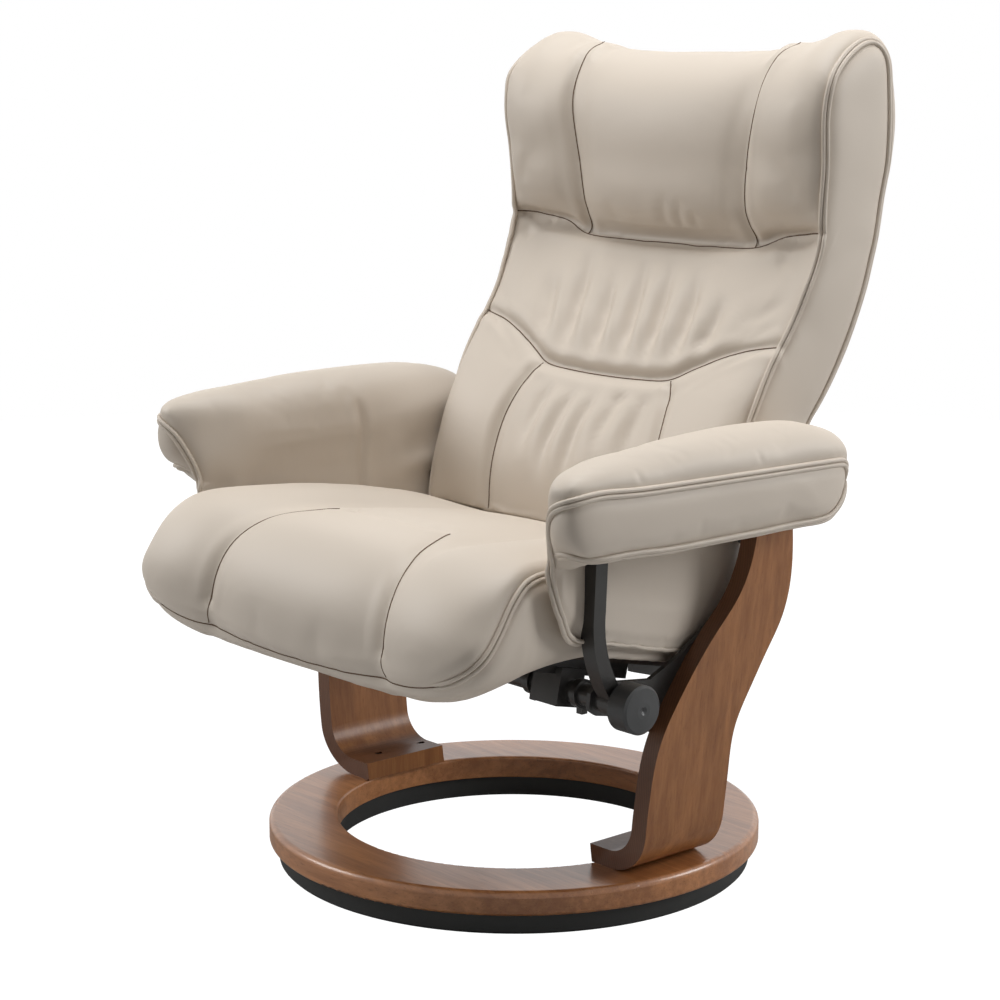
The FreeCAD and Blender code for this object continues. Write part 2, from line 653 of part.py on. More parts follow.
def knobs():
    y, z = "tube_setback", "tube_height"
    plug = cylinder_x("stud_plug", "tube_radius - tube_wall - pin_play", "stud_plug_length",
                      "tube_half_length - stud_plug_length", y, z)
    shank = cylinder_x("stud_shank", "stud_radius", "stud_length", "tube_half_length", y, z)
    stud = fuse("knob_stud", plug, shank)
    node(fuse("knob_studs", stud, mirrored("knob_stud_right", stud)), "knob_studs")
    disc = cylinder_x("washer_disc", "washer_radius", "washer_thickness",
                      "tube_half_length + bar_gap + bar_width", y, z)
    hole = cylinder_x("washer_hole", "stud_radius + pin_play", "washer_thickness",
                      "tube_half_length + bar_gap + bar_width", y, z)
    washer = cut("knob_washer", disc, hole)
    node(fuse("knob_washers", washer, mirrored("knob_washer_right", washer)), "knob_washers")
    bore = "stud_radius + pin_play"
    end = KNOB_START + " + knob_length"
    knob = turned("knob_left", (
        (KNOB_START, bore), (KNOB_START, "knob_radius - knob_edge_cut"),
        (KNOB_START + " + knob_edge_cut", "knob_radius"), (end + " - knob_edge_cut", "knob_radius"),
        (end, "knob_radius - knob_edge_cut"), (end + " + knob_dome", "knob_dimple_radius * 2"),
        (end + " + knob_dome", "knob_dimple_radius"), (end + " - knob_dome", "0"),
        (end + " - knob_wall", "0"), (end + " - knob_wall", bore)), axis="H_Axis")
    move(knob, y=y, z=z)
    node(knob, "knob_left")
    node(mirrored("knob_right", knob), "knob_right")


# Seat slide: blocks on the tube, rails and the seat board

def slide_parts():
    half = "rail_width / 2"
    low = "rail_reach - %s - block_side" % half
    block = slide_box("block_blank", low, "-block_length / 2", "-block_depth", (
        "rail_width + 2 * block_side", "block_length", "block_depth + block_cheek"))
    channel = slide_box("block_channel", "rail_reach - %s - rail_play" % half,
                        "-block_length", "-rail_play",
                        ("rail_width + 2 * rail_play", "2 * block_length", "block_cheek * 3"))
    bore = cylinder_x("block_bore", "tube_radius + pin_play", str(2 * CLEAR),
                      "rail_reach - %d" % CLEAR, "tube_setback", "tube_height")
    left = cut("glide_block_left", block, channel, bore)
    node(left, "glide_block_left")
    node(mirrored("glide_block_right", left), "glide_block_right")
    rail = slide_box("rail_bar", "rail_reach - " + half, "-rail_front", "0",
                     ("rail_width", "rail_front + rail_rear", "rail_height"))
    bevel = slide_box("rail_bevel", "rail_reach - rail_width", "0", "0",
                      ("2 * rail_width", "rail_height * 3", "rail_height * 3"))
    bevel.setExpression("Placement.Rotation.Angle", formula("-slide_slope - 50"))
    bevel.setExpression("Placement.Base.y", formula(
        "tube_setback + (rail_rear - rail_height) * cos(slide_slope)"))
    bevel.setExpression("Placement.Base.z", formula(
        "tube_height + slide_rise - (rail_rear - rail_height) * sin(slide_slope) - rail_height * 2.2"))
    rail_left = cut("seat_rail_left", rail, bevel)
    node(rail_left, "seat_rail_left")
    rail_right = mirrored("seat_rail_right", rail_left)
    node(rail_right, "seat_rail_right")
    board = slide_box("seat_board", "-seat_board_half_width", "-seat_board_front", "rail_height",
                      ("2 * seat_board_half_width", "seat_board_front + seat_board_rear",
                       "seat_board_thickness"))
    node(board, "seat_board")
    return board, rail_left, rail_right


def slide_line(y, lift=0.0):
    """The height of the seat board's top at y, along the slide."""
    slope = math.tan(math.radians(sheet.slide_slope))
    base = sheet.tube_height + sheet.slide_rise - (y - sheet.tube_setback) * slope
    rise = sheet.rail_height + sheet.seat_board_thickness + lift
    return base + rise / cosine(sheet.slide_slope)


def drive_hinge():
    """Lugs under the seat's rear with an upright slot, and the rod that the back carries."""
    y, z = sheet.drive_pin_setback, sheet.drive_pin_height
    reach, thick, lug_drop = sheet.lug_reach, sheet.lug_thickness, sheet.lug_drop
    board_rear = sheet.tube_setback + sheet.seat_board_rear * cosine(sheet.slide_slope)
    under = slide_line(board_rear, -sheet.seat_board_thickness)
    fore = board_rear - 60
    under_fore = slide_line(fore, -sheet.seat_board_thickness)
    lugs = []
    for side in (1, -1):
        behind = sheet.seat_rear + 1
        corners = ((0, fore, under_fore), (0, board_rear, under), (0, behind, under - 6),
                   (0, behind, z + 18), (0, y + 17, z + 18), (0, y + 17, z - 20),
                   (0, y - 8, under - lug_drop), (0, fore, under_fore - 20))
        edges = [line(a, b) for a, b in zip(corners, corners[1:] + corners[:1])]
        plate = slab(edges, side * reach - thick / 2, thick)
        width, height = sheet.slot_half_width, sheet.slot_half_height
        slot = Part.makeBox(2 * thick, 2 * width, 2 * height,
                            Vector(side * reach - thick, y - width, z - height))
        lugs.append(plate.cut(slot))
    for lug, name in zip(lugs, ("seat_lug_left", "seat_lug_right")):
        node(feature(name, lug), name)


# Seat cushion and its plain sides

def seat_width(y):
    length = sheet.seat_rear - sheet.seat_front
    return sheet.seat_half_width - (y - sheet.seat_front) * (
        sheet.seat_half_width - sheet.seat_rear_half_width) / length


def bulge(share, channel, crown, side_crown, depth):
    """How far a panel stands proud at a share of the half width, sunk at the channels."""
    share = abs(share)
    if share <= channel:
        return (crown + depth) * (1 - (share / channel) ** 3) - depth
    side = min(1.0, 2 * (share - channel) / (1 - channel))
    return (side_crown + depth) * (1 - (1 - side) ** 3) - depth


def rounding(share):
    """How far a padded piece has rounded off at a share of its half width, from 0 to 1."""
    reach = max(0.0, (abs(share) - ROUND_START) / (1 - ROUND_START))
    return 1 - math.sqrt(max(0.0, 1 - reach ** 2))


def three_panels(section, channel):
    """Three lofts side by side that meet in the two sewn channels."""
    rest = 1 - channel
    side = [channel + rest * share for share in (0, 0.28, 0.55, 0.78, 0.93, 1)]
    middle = [channel * share for share in (-1, -0.5, 0, 0.5, 1)]
    groups = ([-share for share in side[::-1]], middle, side)
    panels = [loft([section(share) for share in group]) for group in groups]
    return panels[0].fuse(panels[1:])


def seat_section(share):
    """The seat's outline at a share of its half width."""
    edge = rounding(share)
    stand = (1 - edge) * bulge(share, sheet.seat_channel, sheet.seat_crown, sheet.seat_side_crown,
                               sheet.seat_channel_depth)
    front, rear = sheet.seat_front, sheet.seat_rear
    pull = sheet.seat_corner_pull * edge
    rise = sheet.seat_corner_rise * edge + sheet.seat_front_bow * share ** 4
    under = front + sheet.seat_lip_reach
    toe = (front - 0.2 * stand + 0.4 * pull, sheet.seat_toe_height + rise)
    knee_level = sheet.seat_toe_height + sheet.seat_knee_rise
    knee = (front + 9 - 1.2 * stand + pull, knee_level - 4 * edge)
    top = (front + 104 + 0.3 * pull, sheet.seat_top_height + 0.8 * stand - 3 * edge)
    points = {
        "toe": toe,
        "shin": ((toe[0] + knee[0]) / 2 - 7 - 0.4 * stand, (toe[1] + knee[1]) / 2),
        "knee": knee,
        "brow": (front + 43 - 0.8 * stand + 0.75 * pull,
                 knee_level + sheet.seat_brow_rise + 0.6 * stand - 4 * edge),
        "top": top,
        "middle": ((top[0] + rear) / 2, sheet.seat_top_height - sheet.seat_middle_drop + stand - 3 * edge),
        "heel": (rear, sheet.seat_top_height - sheet.seat_heel_drop),
        "sole": (rear, slide_line(rear, -sheet.seat_board_edge)),
        "under": (under, slide_line(under, -sheet.seat_board_edge)),
        "lip": (front + 22 + 0.3 * pull, sheet.seat_toe_height - sheet.seat_lip_drop + 0.95 * rise),
    }
    side = {name: (share * seat_width(y), y, z) for name, (y, z) in points.items()}
    return Part.Wire([
        arc(side["toe"], side["shin"], side["knee"]),
        arc(side["knee"], side["brow"], side["top"]),
        arc(side["top"], side["middle"], side["heel"]),
        line(side["heel"], side["sole"]),
        line(side["sole"], side["under"]),
        line(side["under"], side["lip"]),
        line(side["lip"], side["toe"])])


def seat_soft(hard):
    shape = three_panels(seat_section, sheet.seat_channel)
    rim = [(0, sheet.seat_front + y, sheet.seat_toe_height + z) for y, z in SEAT_RIM]
    rear = (0, sheet.seat_rear + CLEAR, sheet.seat_top_height - sheet.seat_heel_drop - 10)
    before = (0, rim[0][1] - CLEAR, rim[0][2] - CLEAR / 7)
    above = sheet.seat_top_height + 2 * CLEAR
    edges = [line(before, rim[0]), spline(rim), line(rim[-1], rear),
             line(rear, (0, rear[1], above)), line((0, rear[1], above), (0, before[1], above)),
             line((0, before[1], above), before)]
    upper = slab(edges, -2 * sheet.seat_half_width, 4 * sheet.seat_half_width)
    reach = sheet.seat_channel * sheet.seat_half_width
    level = sheet.seat_top_height - 10 + sheet.seat_seam_radius - sheet.seat_seam_depth
    seam = Part.makeCylinder(sheet.seat_seam_radius, 2 * reach,
                             Vector(-reach, sheet.seat_cross_seam, level), Vector(1, 0, 0))
    cushion = shape.common(upper).cut(seam)
    node(feature("seat_cushion", cushion), "seat_cushion")
    apron = shape.cut(upper)
    for piece in hard:
        apron = apron.cut(piece.Shape)
    node(feature("seat_apron", apron), "seat_apron")


# Arms

def arm_inner(y):
    """The x of the arm's inner face, which flares out towards the front."""
    y = min(y, sheet.arm_flare_rear)
    share = (y - sheet.arm_flare_front) / (sheet.arm_flare_rear - sheet.arm_flare_front)
    return sheet.arm_inner_front + share * (sheet.arm_inner_rear - sheet.arm_inner_front)


def arm_section(offset, low, welt, top, inner_draw, outer_draw):
    y = sheet.arm_front + offset
    inner, outer = arm_inner(y) + inner_draw, sheet.arm_outer_face - outer_draw
    floor = sheet.arm_low
    ridge = inner + sheet.arm_ridge * (outer - inner)
    shoulder = floor + low + 0.66 * (top - low)
    foot = floor if y > sheet.arm_flare_front else floor + low
    points = {
        "low": (outer, y, floor + low),
        "side": (outer + 1.5, y, floor + (low + welt) / 2),
        "welt": (outer, y, floor + welt),
        "outer": (outer - 0.36 * (outer - ridge), y, floor + welt + 0.8 * (top - welt)),
        "ridge": (ridge, y, floor + top),
        "inner": (inner + 0.2 * (ridge - inner), y, shoulder + 0.62 * (floor + top - shoulder)),
        "shoulder": (inner, y, shoulder),
        "foot": (inner, y, foot),
    }
    return Part.Wire([
        arc(points["low"], points["side"], points["welt"]),
        arc(points["welt"], points["outer"], points["ridge"]),
        arc(points["ridge"], points["inner"], points["shoulder"]),
        line(points["shoulder"], points["foot"]),
        line(points["foot"], points["low"])])


def arm_board():
    """The plywood board inside the arm, on top of the leg and the bracket."""
    inset = sheet.arm_board_inset
    inner = sheet.arm_inner_front + inset
    return Part.makeBox(sheet.arm_outer_face - inset - inner,
                        sheet.arm_board_rear - sheet.arm_board_front, sheet.arm_board_thickness,
                        Vector(inner, sheet.arm_board_front, sheet.leg_top))


def arm_panel():
    """The panel beside the seat, from its front edge round to its lower edge."""
    thick = sheet.arm_panel_thickness
    top = sheet.arm_low + sheet.arm_sole - sheet.seam_gap
    front, rear = sheet.arm_flare_front, sheet.arm_panel_rear
    shape = [(0, front + y, top + z) for y, z in ARM_PANEL]
    corner, tail = (0, rear, shape[-1][2] - 8), (0, sheet.arm_panel_tail, top - sheet.arm_tail_drop)
    end = (0, sheet.arm_panel_tail, top)
    edges = [spline(shape + [corner]), line(corner, tail), line(tail, end), line(end, shape[0])]
    panel = slab(edges, 0, thick)
    flare = math.degrees(math.atan2(sheet.arm_inner_front - sheet.arm_inner_rear,
                                    sheet.arm_flare_rear - sheet.arm_flare_front))
    pivot = Vector(0, front, 0)
    panel.rotate(pivot, Vector(0, 0, 1), flare)
    panel.translate(Vector(sheet.arm_inner_front, 0, 0))
    return panel


def arms():
    board = arm_board()
    leg = doc.getObject("leg_shape").Shape
    bar = doc.getObject("arm_bracket_left").Shape
    pad = loft([arm_section(*row) for row in ARM_SHAPE])
    below = Part.makeBox(sheet.arm_outer_face + CLEAR, ARM_SHAPE[-1][0], CLEAR,
                         Vector(0, sheet.arm_front, sheet.arm_low + sheet.arm_sole - CLEAR))
    pad = pad.cut(board).cut(leg).cut(bar).cut(below)
    reach = Vector(sheet.arm_inner_rear - CLEAR, sheet.pivot_setback, sheet.pivot_height)
    notch = Part.makeCylinder(sheet.spacer_radius + sheet.spacer_gap, 2 * CLEAR, reach, Vector(1, 0, 0))
    panel = arm_panel().cut(bar).cut(notch)
    pieces = (("arm_board", board), ("arm_pad", pad), ("arm_panel", panel))
    for name, shape in pieces:
        left = feature(name + "_left", shape)
        node(left, name + "_left")
        node(mirrored(name + "_right", left), name + "_right")


# Back

def back_width(height):
    """Half the back's width at a height: narrow at the seat, wide at the head."""
    span = sheet.back_top - sheet.back_bottom
    return sheet.back_half_bottom + (height - sheet.back_bottom) * (
        sheet.back_half_top - sheet.back_half_bottom) / span


def lower_seam(share):
    return sheet.waist_height + sheet.waist_rise * abs(share) ** 2.2


def upper_seam(share):
    return sheet.neck_height + sheet.neck_rise * abs(share) ** 2.2


def top_edge(share):
    """The height of the back's top edge, which rises into a rounded wing at each side."""
    share = abs(share)
    rise = sheet.back_wing_rise * min(1.1, max(0.0, (share - 0.4) / 0.5) ** 1.5)
    fall = sheet.back_wing_fall * max(0.0, (share - 0.86) / 0.14) ** 2
    return sheet.back_top + rise - fall


def side_points(share, points):
    return {name: (share * back_width(z), y, z) for name, (y, z) in points.items()}


def back_panel(share, low, high, drawn_low, drawn_high, stand):
    """One cushion of the back between two seams, as an outline at a share of the half width."""
    centre = 1 - rounding(share)
    stand = centre * stand
    deep = 20 + 60 * centre

    def front(rise):
        level = low + rise * (high - low)
        drawn = drawn_low + rise * (drawn_high - drawn_low)
        return (between(BACK_SIDE, level) - centre * drawn - stand * 4 * rise * (1 - rise), level)

    points = {
        "low": front(0),
        "swell_low": front(0.25),
        "middle": front(0.5),
        "swell_high": front(0.75),
        "high": front(1),
        "rear_high": (between(BACK_SIDE, high) + deep, high),
        "rear_low": (between(BACK_SIDE, low) + deep, low),
    }
    side = side_points(share, points)
    return Part.Wire([
        arc(side["low"], side["swell_low"], side["middle"]),
        arc(side["middle"], side["swell_high"], side["high"]),
        line(side["high"], side["rear_high"]),
        line(side["rear_high"], side["rear_low"]),
        line(side["rear_low"], side["low"])])


def head_section(share):
    """The head cushion, which rolls over the top edge of the back."""
    edge = rounding(share)
    centre = 1 - edge
    stand = centre * bulge(share, sheet.back_channel_high, sheet.head_crown, sheet.head_side_crown,
                           sheet.back_channel_depth)
    low = upper_seam(share) + sheet.seam_gap / 2
    high = top_edge(share)
    brow = low + (0.8 + 0.05 * edge) * (high - low)

    def front(rise, recess):
        level = low + rise * (brow - low)
        return (between(BACK_SIDE, level) + centre * recess - stand, level)

    points = {
        "low": (between(BACK_SIDE, low) + 34 * centre, low),
        "chin": front(0.25, 10),
        "middle": front(0.5, 4),
        "forehead": front(0.76, 8),
        "brow": front(1, 22),
        "crown": (between(BACK_SIDE, brow) + 34 + 10 * centre, high - 14),
        "top": (between(BACK_SIDE, brow) + sheet.back_roll, high),
        "rear_low": (between(BACK_SIDE, low) + 80, low),
    }
    side = side_points(share, points)
    return Part.Wire([
        arc(side["low"], side["chin"], side["middle"]),
        arc(side["middle"], side["forehead"], side["brow"]),
        arc(side["brow"], side["crown"], side["top"]),
        line(side["top"], side["rear_low"]),
        line(side["rear_low"], side["low"])])


def shell_section(share):
    """The plain rear of the back, from the side welt round behind."""
    share_in = abs(share)
    corner = max(0.0, (share_in - 0.72) / 0.28)
    round_in = sheet.shell_corner * (1 - math.sqrt(1 - corner ** 2)) + 8 * share_in ** 2
    deep = 12 + sheet.shell_depth * min(1.0, (1 - share_in) / 0.16)
    high = top_edge(share)
    low = sheet.back_bottom - sheet.shell_drop
    rear = [(y + 5 - round_in, z) for y, z in BACK_REAR]
    split = [(y + deep, z) for y, z in BACK_SIDE]
    levels = [BACK_SIDE[index][1] for index in (1, 4, 6, 8)]
    top = (between(BACK_SIDE, levels[-1]) + sheet.back_roll, high)
    front = [(between(split, sheet.back_bottom), low)]
    front += [(between(split, level), level) for level in levels] + [top]
    points = {"front_%d" % k: point for k, point in enumerate(front)}
    points.update({
        "crown": ((top[0] + rear[6][0]) / 2 + 12, high - 8),
        "rear_top": (rear[6][0], high - 40),
        "nape": (rear[5][0], rear[5][1] - 10),
        "rear_middle": (rear[4][0] + 4, rear[4][1]),
        "spine": (rear[3][0], rear[3][1] - 60),
        "rear_waist": rear[2],
        "loin": (rear[1][0] + 2, rear[1][1]),
        "rear_low": (rear[0][0], low),
    })
    side = side_points(share, points)
    last = "front_%d" % (len(front) - 1)
    edges = [line(side["front_%d" % k], side["front_%d" % (k + 1)]) for k in range(len(front) - 1)]
    edges += [
        arc(side[last], side["crown"], side["rear_top"]),
        arc(side["rear_top"], side["nape"], side["rear_middle"]),
        arc(side["rear_middle"], side["spine"], side["rear_waist"]),
        arc(side["rear_waist"], side["loin"], side["rear_low"]),
        line(side["rear_low"], side["front_0"])]
    return Part.Wire(edges)


def ribbon(points, thickness):
    """Edges of a band of a thickness behind a chain of (y, z) points."""
    front = [(0, y, z) for y, z in points]
    rear = [(0, y + thickness, z) for y, z in points]
    return [spline(front), line(front[-1], rear[-1]), spline(rear[::-1]), line(rear[0], front[0])]


def back_frame():
    """The struts from the drive rod past the pivot to the head, the ties and the bent board."""
    inset = sheet.back_board_inset
    chain = [(y + inset, z) for y, z in BACK_SIDE[1:] if z < sheet.strut_top + 60]
    board = slab(ribbon(chain, sheet.back_board_thickness), -sheet.back_board_half_width,
                 2 * sheet.back_board_half_width)
    width = sheet.strut_width
    y, z = sheet.drive_pin_setback, sheet.drive_pin_height
    foot = (y - width / 2 + 2, z)
    hip = (sheet.pivot_setback - width / 2 + 2, sheet.pivot_height - 20)
    level = sheet.pivot_height + 94
    waist = (between(BACK_SIDE, level) + 12, level)
    steps = ((sheet.pivot_height + 174, 24), (sheet.pivot_height + 264, 33),
             (sheet.neck_height + 9, 46), (sheet.strut_top, 42))
    rise = [(between(BACK_SIDE, level) + inside, level) for level, inside in steps]
    edges = ribbon([foot, hip, waist] + rise, width)
    struts = []
    for side, name in ((1, "back_strut_left"), (-1, "back_strut_right")):
        start = side * sheet.strut_reach - sheet.strut_thickness / 2
        bar = slab(edges, start, sheet.strut_thickness)
        eye = Part.makeCylinder(sheet.strut_foot_radius + 2, sheet.strut_thickness,
                                Vector(start, sheet.pivot_setback, sheet.pivot_height), Vector(1, 0, 0))
        foot_eye = Part.makeCylinder(sheet.strut_foot_radius, sheet.strut_thickness,
                                     Vector(start, y, z), Vector(1, 0, 0))
        bar = bar.fuse(eye).fuse(foot_eye)
        for radius, hole_y, hole_z in ((sheet.pin_radius, sheet.pivot_setback, sheet.pivot_height),
                                       (sheet.drive_pin_radius, y, z)):
            bar = bar.cut(Part.makeCylinder(radius + sheet.pin_play, 3 * sheet.strut_thickness,
                                            Vector(start - sheet.strut_thickness, hole_y, hole_z),
                                            Vector(1, 0, 0)))
        struts.append(bar)
        node(feature(name, bar), name)
    ties = []
    for level in (sheet.tie_low, sheet.tie_high):
        reach = sheet.strut_reach - sheet.strut_thickness / 2
        spot = Vector(-reach, between(BACK_SIDE, level) + inset + sheet.back_board_thickness
                      + sheet.tie_radius, level)
        ties.append(Part.makeCylinder(sheet.tie_radius, 2 * reach, spot, Vector(1, 0, 0)))
    ties = [tie.cut(board) for tie in ties]
    node(feature("back_board", board), "back_board")
    node(feature("back_ties", Part.makeCompound(ties)), "back_ties")
    rod_length = 2 * (sheet.strut_reach + sheet.strut_thickness / 2 + 3)
    rod = Part.makeCylinder(sheet.drive_pin_radius, rod_length,
                            Vector(-rod_length / 2, y, z), Vector(1, 0, 0))
    node(feature("drive_rod", rod), "drive_rod")
    return [board, rod] + struts + ties


def pivot_pins():
    length = sheet.pin_outer_end - sheet.pin_inner_end
    pins, spacers = [], []
    plate = leg_plane(sheet.pivot_height) - sheet.plate_thickness / cosine(sheet.leg_lean)
    slope = math.tan(math.radians(sheet.leg_lean)) * sheet.spacer_radius
    start = back_width(sheet.pivot_height) + sheet.spacer_gap
    for side in (1, -1):
        base = Vector(side * sheet.pin_inner_end, sheet.pivot_setback, sheet.pivot_height)
        along = Vector(side, 0, 0)
        pins.append(Part.makeCylinder(sheet.pin_radius, length, base, along))
        base = Vector(side * start, sheet.pivot_setback, sheet.pivot_height)
        reach = plate - slope - sheet.spacer_gap - start
        spacer = Part.makeCylinder(sheet.spacer_radius, reach, base, along)
        hole = Part.makeCylinder(sheet.pin_radius + sheet.pin_play, reach, base, along)
        spacers.append(spacer.cut(hole))
    node(feature("pivot_pins", Part.makeCompound(pins)), "pivot_pins")
    node(feature("pivot_spacers", Part.makeCompound(spacers)), "pivot_spacers")
    return pins


def back_soft(inner):
    half = (0.2, 0.5, 0.72, 0.84, 0.91, 0.96, 0.99, 1)
    stations = [-share for share in half[::-1]] + list(half)
    shell = Part.makeLoft([shell_section(share) for share in stations], True, True)
    gap = sheet.seam_gap / 2

    def lower_section(share):
        stand = bulge(share, sheet.back_channel_low, sheet.back_crown, sheet.back_crown,
                      sheet.back_channel_depth)
        return back_panel(share, sheet.back_bottom, lower_seam(share) - gap, 24, -4, stand)

    def lumbar_section(share):
        stand = sheet.lumbar_crown * (1 - share ** 4)
        return back_panel(share, lower_seam(share) + gap, upper_seam(share) - gap, -4, -34, stand)

    lower = three_panels(lower_section, sheet.back_channel_low)
    lumbar = three_panels(lumbar_section, sheet.back_channel_low)
    head = three_panels(head_section, sheet.back_channel_high)
    soft = (("back_cushion_lower", lower.cut(shell)), ("back_cushion_lumbar", lumbar.cut(shell)),
            ("head_cushion", head.cut(shell)), ("back_shell", shell))
    for name, shape in soft:
        for piece in inner:
            shape = shape.cut(piece)
        node(feature(name, shape), name)


def build():
    floor_ring()
    bearing()
    race_screws()
    holes = foot_holes()
    wood_ring(holes, doc.getObject("race_holes"))
    bolt_tools = feature("bolt_holes", Part.makeCompound(bolt_shapes(
        sheet.bolt_radius + sheet.screw_play, 0, sheet.bolt_bite, 0)))
    legs(holes, bolt_tools)
    foot_screws()
    leg_bolts()
    leg_plates(bolt_tools)
    cross_tube()
    arm_brackets()
    knobs()
    hard = slide_parts()
    doc.recompute()
    drive_hinge()
    seat_soft(hard)
    arms()
    inner = back_frame()
    back_soft(inner + pivot_pins())
    doc.recompute()


def check():
    for item in doc.Objects:
        if "Invalid" in item.State or "Error" in item.State:
            raise RuntimeError("%s failed: %s" % (item.Name, item.State))
    for item in nodes:
        if item.Shape.isNull() or not item.Shape.isValid() or not item.Shape.Solids:
            raise RuntimeError("%s has no valid solid" % item.Label)


def write():
    os.makedirs("parts", exist_ok=True)
    for item in nodes:
        item.Shape.exportStep(os.path.join("parts", item.Label + ".step"))
        print("%-22s %3d solids %12.0f mm3" % (item.Label, len(item.Shape.Solids), item.Shape.Volume))


build()
check()
write()
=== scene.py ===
import math

import bmesh
import bpy
import numpy as np
from bpy.props import FloatProperty, FloatVectorProperty, IntProperty, PointerProperty
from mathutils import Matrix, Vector, noise
from mathutils.bvhtree import BVHTree
from mathutils.kdtree import KDTree


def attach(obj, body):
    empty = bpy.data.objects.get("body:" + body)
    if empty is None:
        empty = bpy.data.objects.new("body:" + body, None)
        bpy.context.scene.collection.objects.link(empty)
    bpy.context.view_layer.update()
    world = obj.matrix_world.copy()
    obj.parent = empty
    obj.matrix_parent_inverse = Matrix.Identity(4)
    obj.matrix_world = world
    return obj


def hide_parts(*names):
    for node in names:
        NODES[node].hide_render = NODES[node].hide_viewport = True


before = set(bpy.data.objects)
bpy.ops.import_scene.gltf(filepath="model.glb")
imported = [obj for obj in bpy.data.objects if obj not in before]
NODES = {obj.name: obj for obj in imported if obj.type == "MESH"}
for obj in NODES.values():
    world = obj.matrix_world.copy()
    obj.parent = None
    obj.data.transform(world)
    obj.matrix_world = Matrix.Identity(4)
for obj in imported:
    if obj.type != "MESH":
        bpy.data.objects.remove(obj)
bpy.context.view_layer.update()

bl_info = {
    "name": "Swivel Recliner",
    "version": (1, 0, 0),
    "blender": (4, 5, 0),
    "location": "View3D > Sidebar > Recliner",
    "description": "Dresses a leather swivel recliner on a wooden ring base",
    "category": "Object",
}

# The chair faces -Y, +X is the sitter's left and +Z is up, in metres, with the origin on the
# floor under the swivel axis. Lines sewn or folded into the leather are lists of points in
# millimetres, which are then laid on the cover's surface.

MILLIMETRE = 0.001

LEATHER_LIFT = 0.0006  # how far a cover stands proud of its solids
SLIT_LIFT = 0.0002  # how far the middle of a seam's dark line lies above the leather
EVENING_ROUNDS = 7  # rounds that smooth the facets of a copied solid away
SWELL_SHARE = 0.3  # swell on both sides of a seam or fold, as a share of its depth
WELT_BED = (0.012, 0.0035)  # half width and depth of the dip in which a welt lies

# The two cords of a welt, in radii of a cord: half the distance between them, how far they rise
# from where they have sunk in to where they are whole, and how deep they lie where sunk in.
CORD_SPACING, CORD_RISE, CORD_SUNK = 0.96, 1.8, 1.1


# Sizes and colours

class LeatherSettings(bpy.types.PropertyGroup):
    """Sizes and colours of the padded covers."""

    colour: FloatVectorProperty(name="Leather", description="Colour of the leather",
                                subtype="COLOR", default=(0.54, 0.478, 0.422), min=0, max=1)
    # The seam colour is painted shade: the dark of the slit in a sewn seam.
    slit_shade_colour: FloatVectorProperty(name="Seam", description="Colour of the sunk seams",
                                     subtype="COLOR", default=(0.19, 0.13, 0.09), min=0, max=1)
    step: FloatProperty(name="Mesh step", description="Width of the faces before smoothing",
                        subtype="DISTANCE", unit="LENGTH", default=0.005)
    pressure: FloatProperty(name="Pressure", description="How hard the filling swells a cover",
                            default=4.0)
    frames: IntProperty(name="Steps", description="Steps of the cloth simulation", default=20)
    cap: FloatProperty(name="Swell", description="How far the filling may move the leather",
                       subtype="DISTANCE", unit="LENGTH", default=0.024)
    spread: IntProperty(name="Spread", description="Rounds of averaging that tell small "
                        "puckers from the slow movement of the whole cover", default=70)
    pucker: FloatProperty(name="Puckers", description="Largest height of the small puckers",
                          subtype="DISTANCE", unit="LENGTH", default=0.0022)
    close: FloatProperty(name="Closing", description="Half width of the gaps between padded "
                         "solids that one cover closes", subtype="DISTANCE", unit="LENGTH",
                         default=0.003)
    seam_width: FloatProperty(name="Seam width", description="Half width of the dip at a seam",
                              subtype="DISTANCE", unit="LENGTH", default=0.0075)
    seam_depth: FloatProperty(name="Seam depth", description="Depth of the dip at a seam",
                              subtype="DISTANCE", unit="LENGTH", default=0.0045)
    slit: FloatProperty(name="Slit", description="Radius of the dark line in a seam",
                        subtype="DISTANCE", unit="LENGTH", default=0.0008)
    cord: FloatProperty(name="Welt cord", description="Radius of one cord of a double welt",
                        subtype="DISTANCE", unit="LENGTH", default=0.0030)


class WoodSettings(bpy.types.PropertyGroup):
    """Colours of the wooden ring and legs."""

    light: FloatVectorProperty(name="Light grain", description="Colour between the grain lines",
                               subtype="COLOR", default=(0.44, 0.19, 0.07), min=0, max=1)
    dark: FloatVectorProperty(name="Dark grain", description="Colour of the grain lines",
                              subtype="COLOR", default=(0.24, 0.095, 0.034), min=0, max=1)
    edge: FloatVectorProperty(name="Laminated edge", description="Colour of the bent edges",
                              subtype="COLOR", default=(0.085, 0.034, 0.016), min=0, max=1)


class StageSettings(bpy.types.PropertyGroup):
    """Camera, lamps and floor."""

    lens: FloatProperty(name="Lens", description="Focal length in millimetres", default=86.85)
    key: FloatProperty(name="Key lamp", description="Power of the large front lamp",
                       subtype="POWER", unit="POWER", default=56.0)
    top: FloatProperty(name="Top lamp", description="Power of the lamp overhead",
                       subtype="POWER", unit="POWER", default=96.0)
    fill: FloatProperty(name="Fill lamp", description="Power of the side lamp",
                        subtype="POWER", unit="POWER", default=56.0)
    ambience: FloatProperty(name="Ambience", description="Strength of the light from all round",
                            default=0.055)


# Shader maths

def colour(values):
    """Four values from a colour of three."""
    return (*values[:3], 1.0)


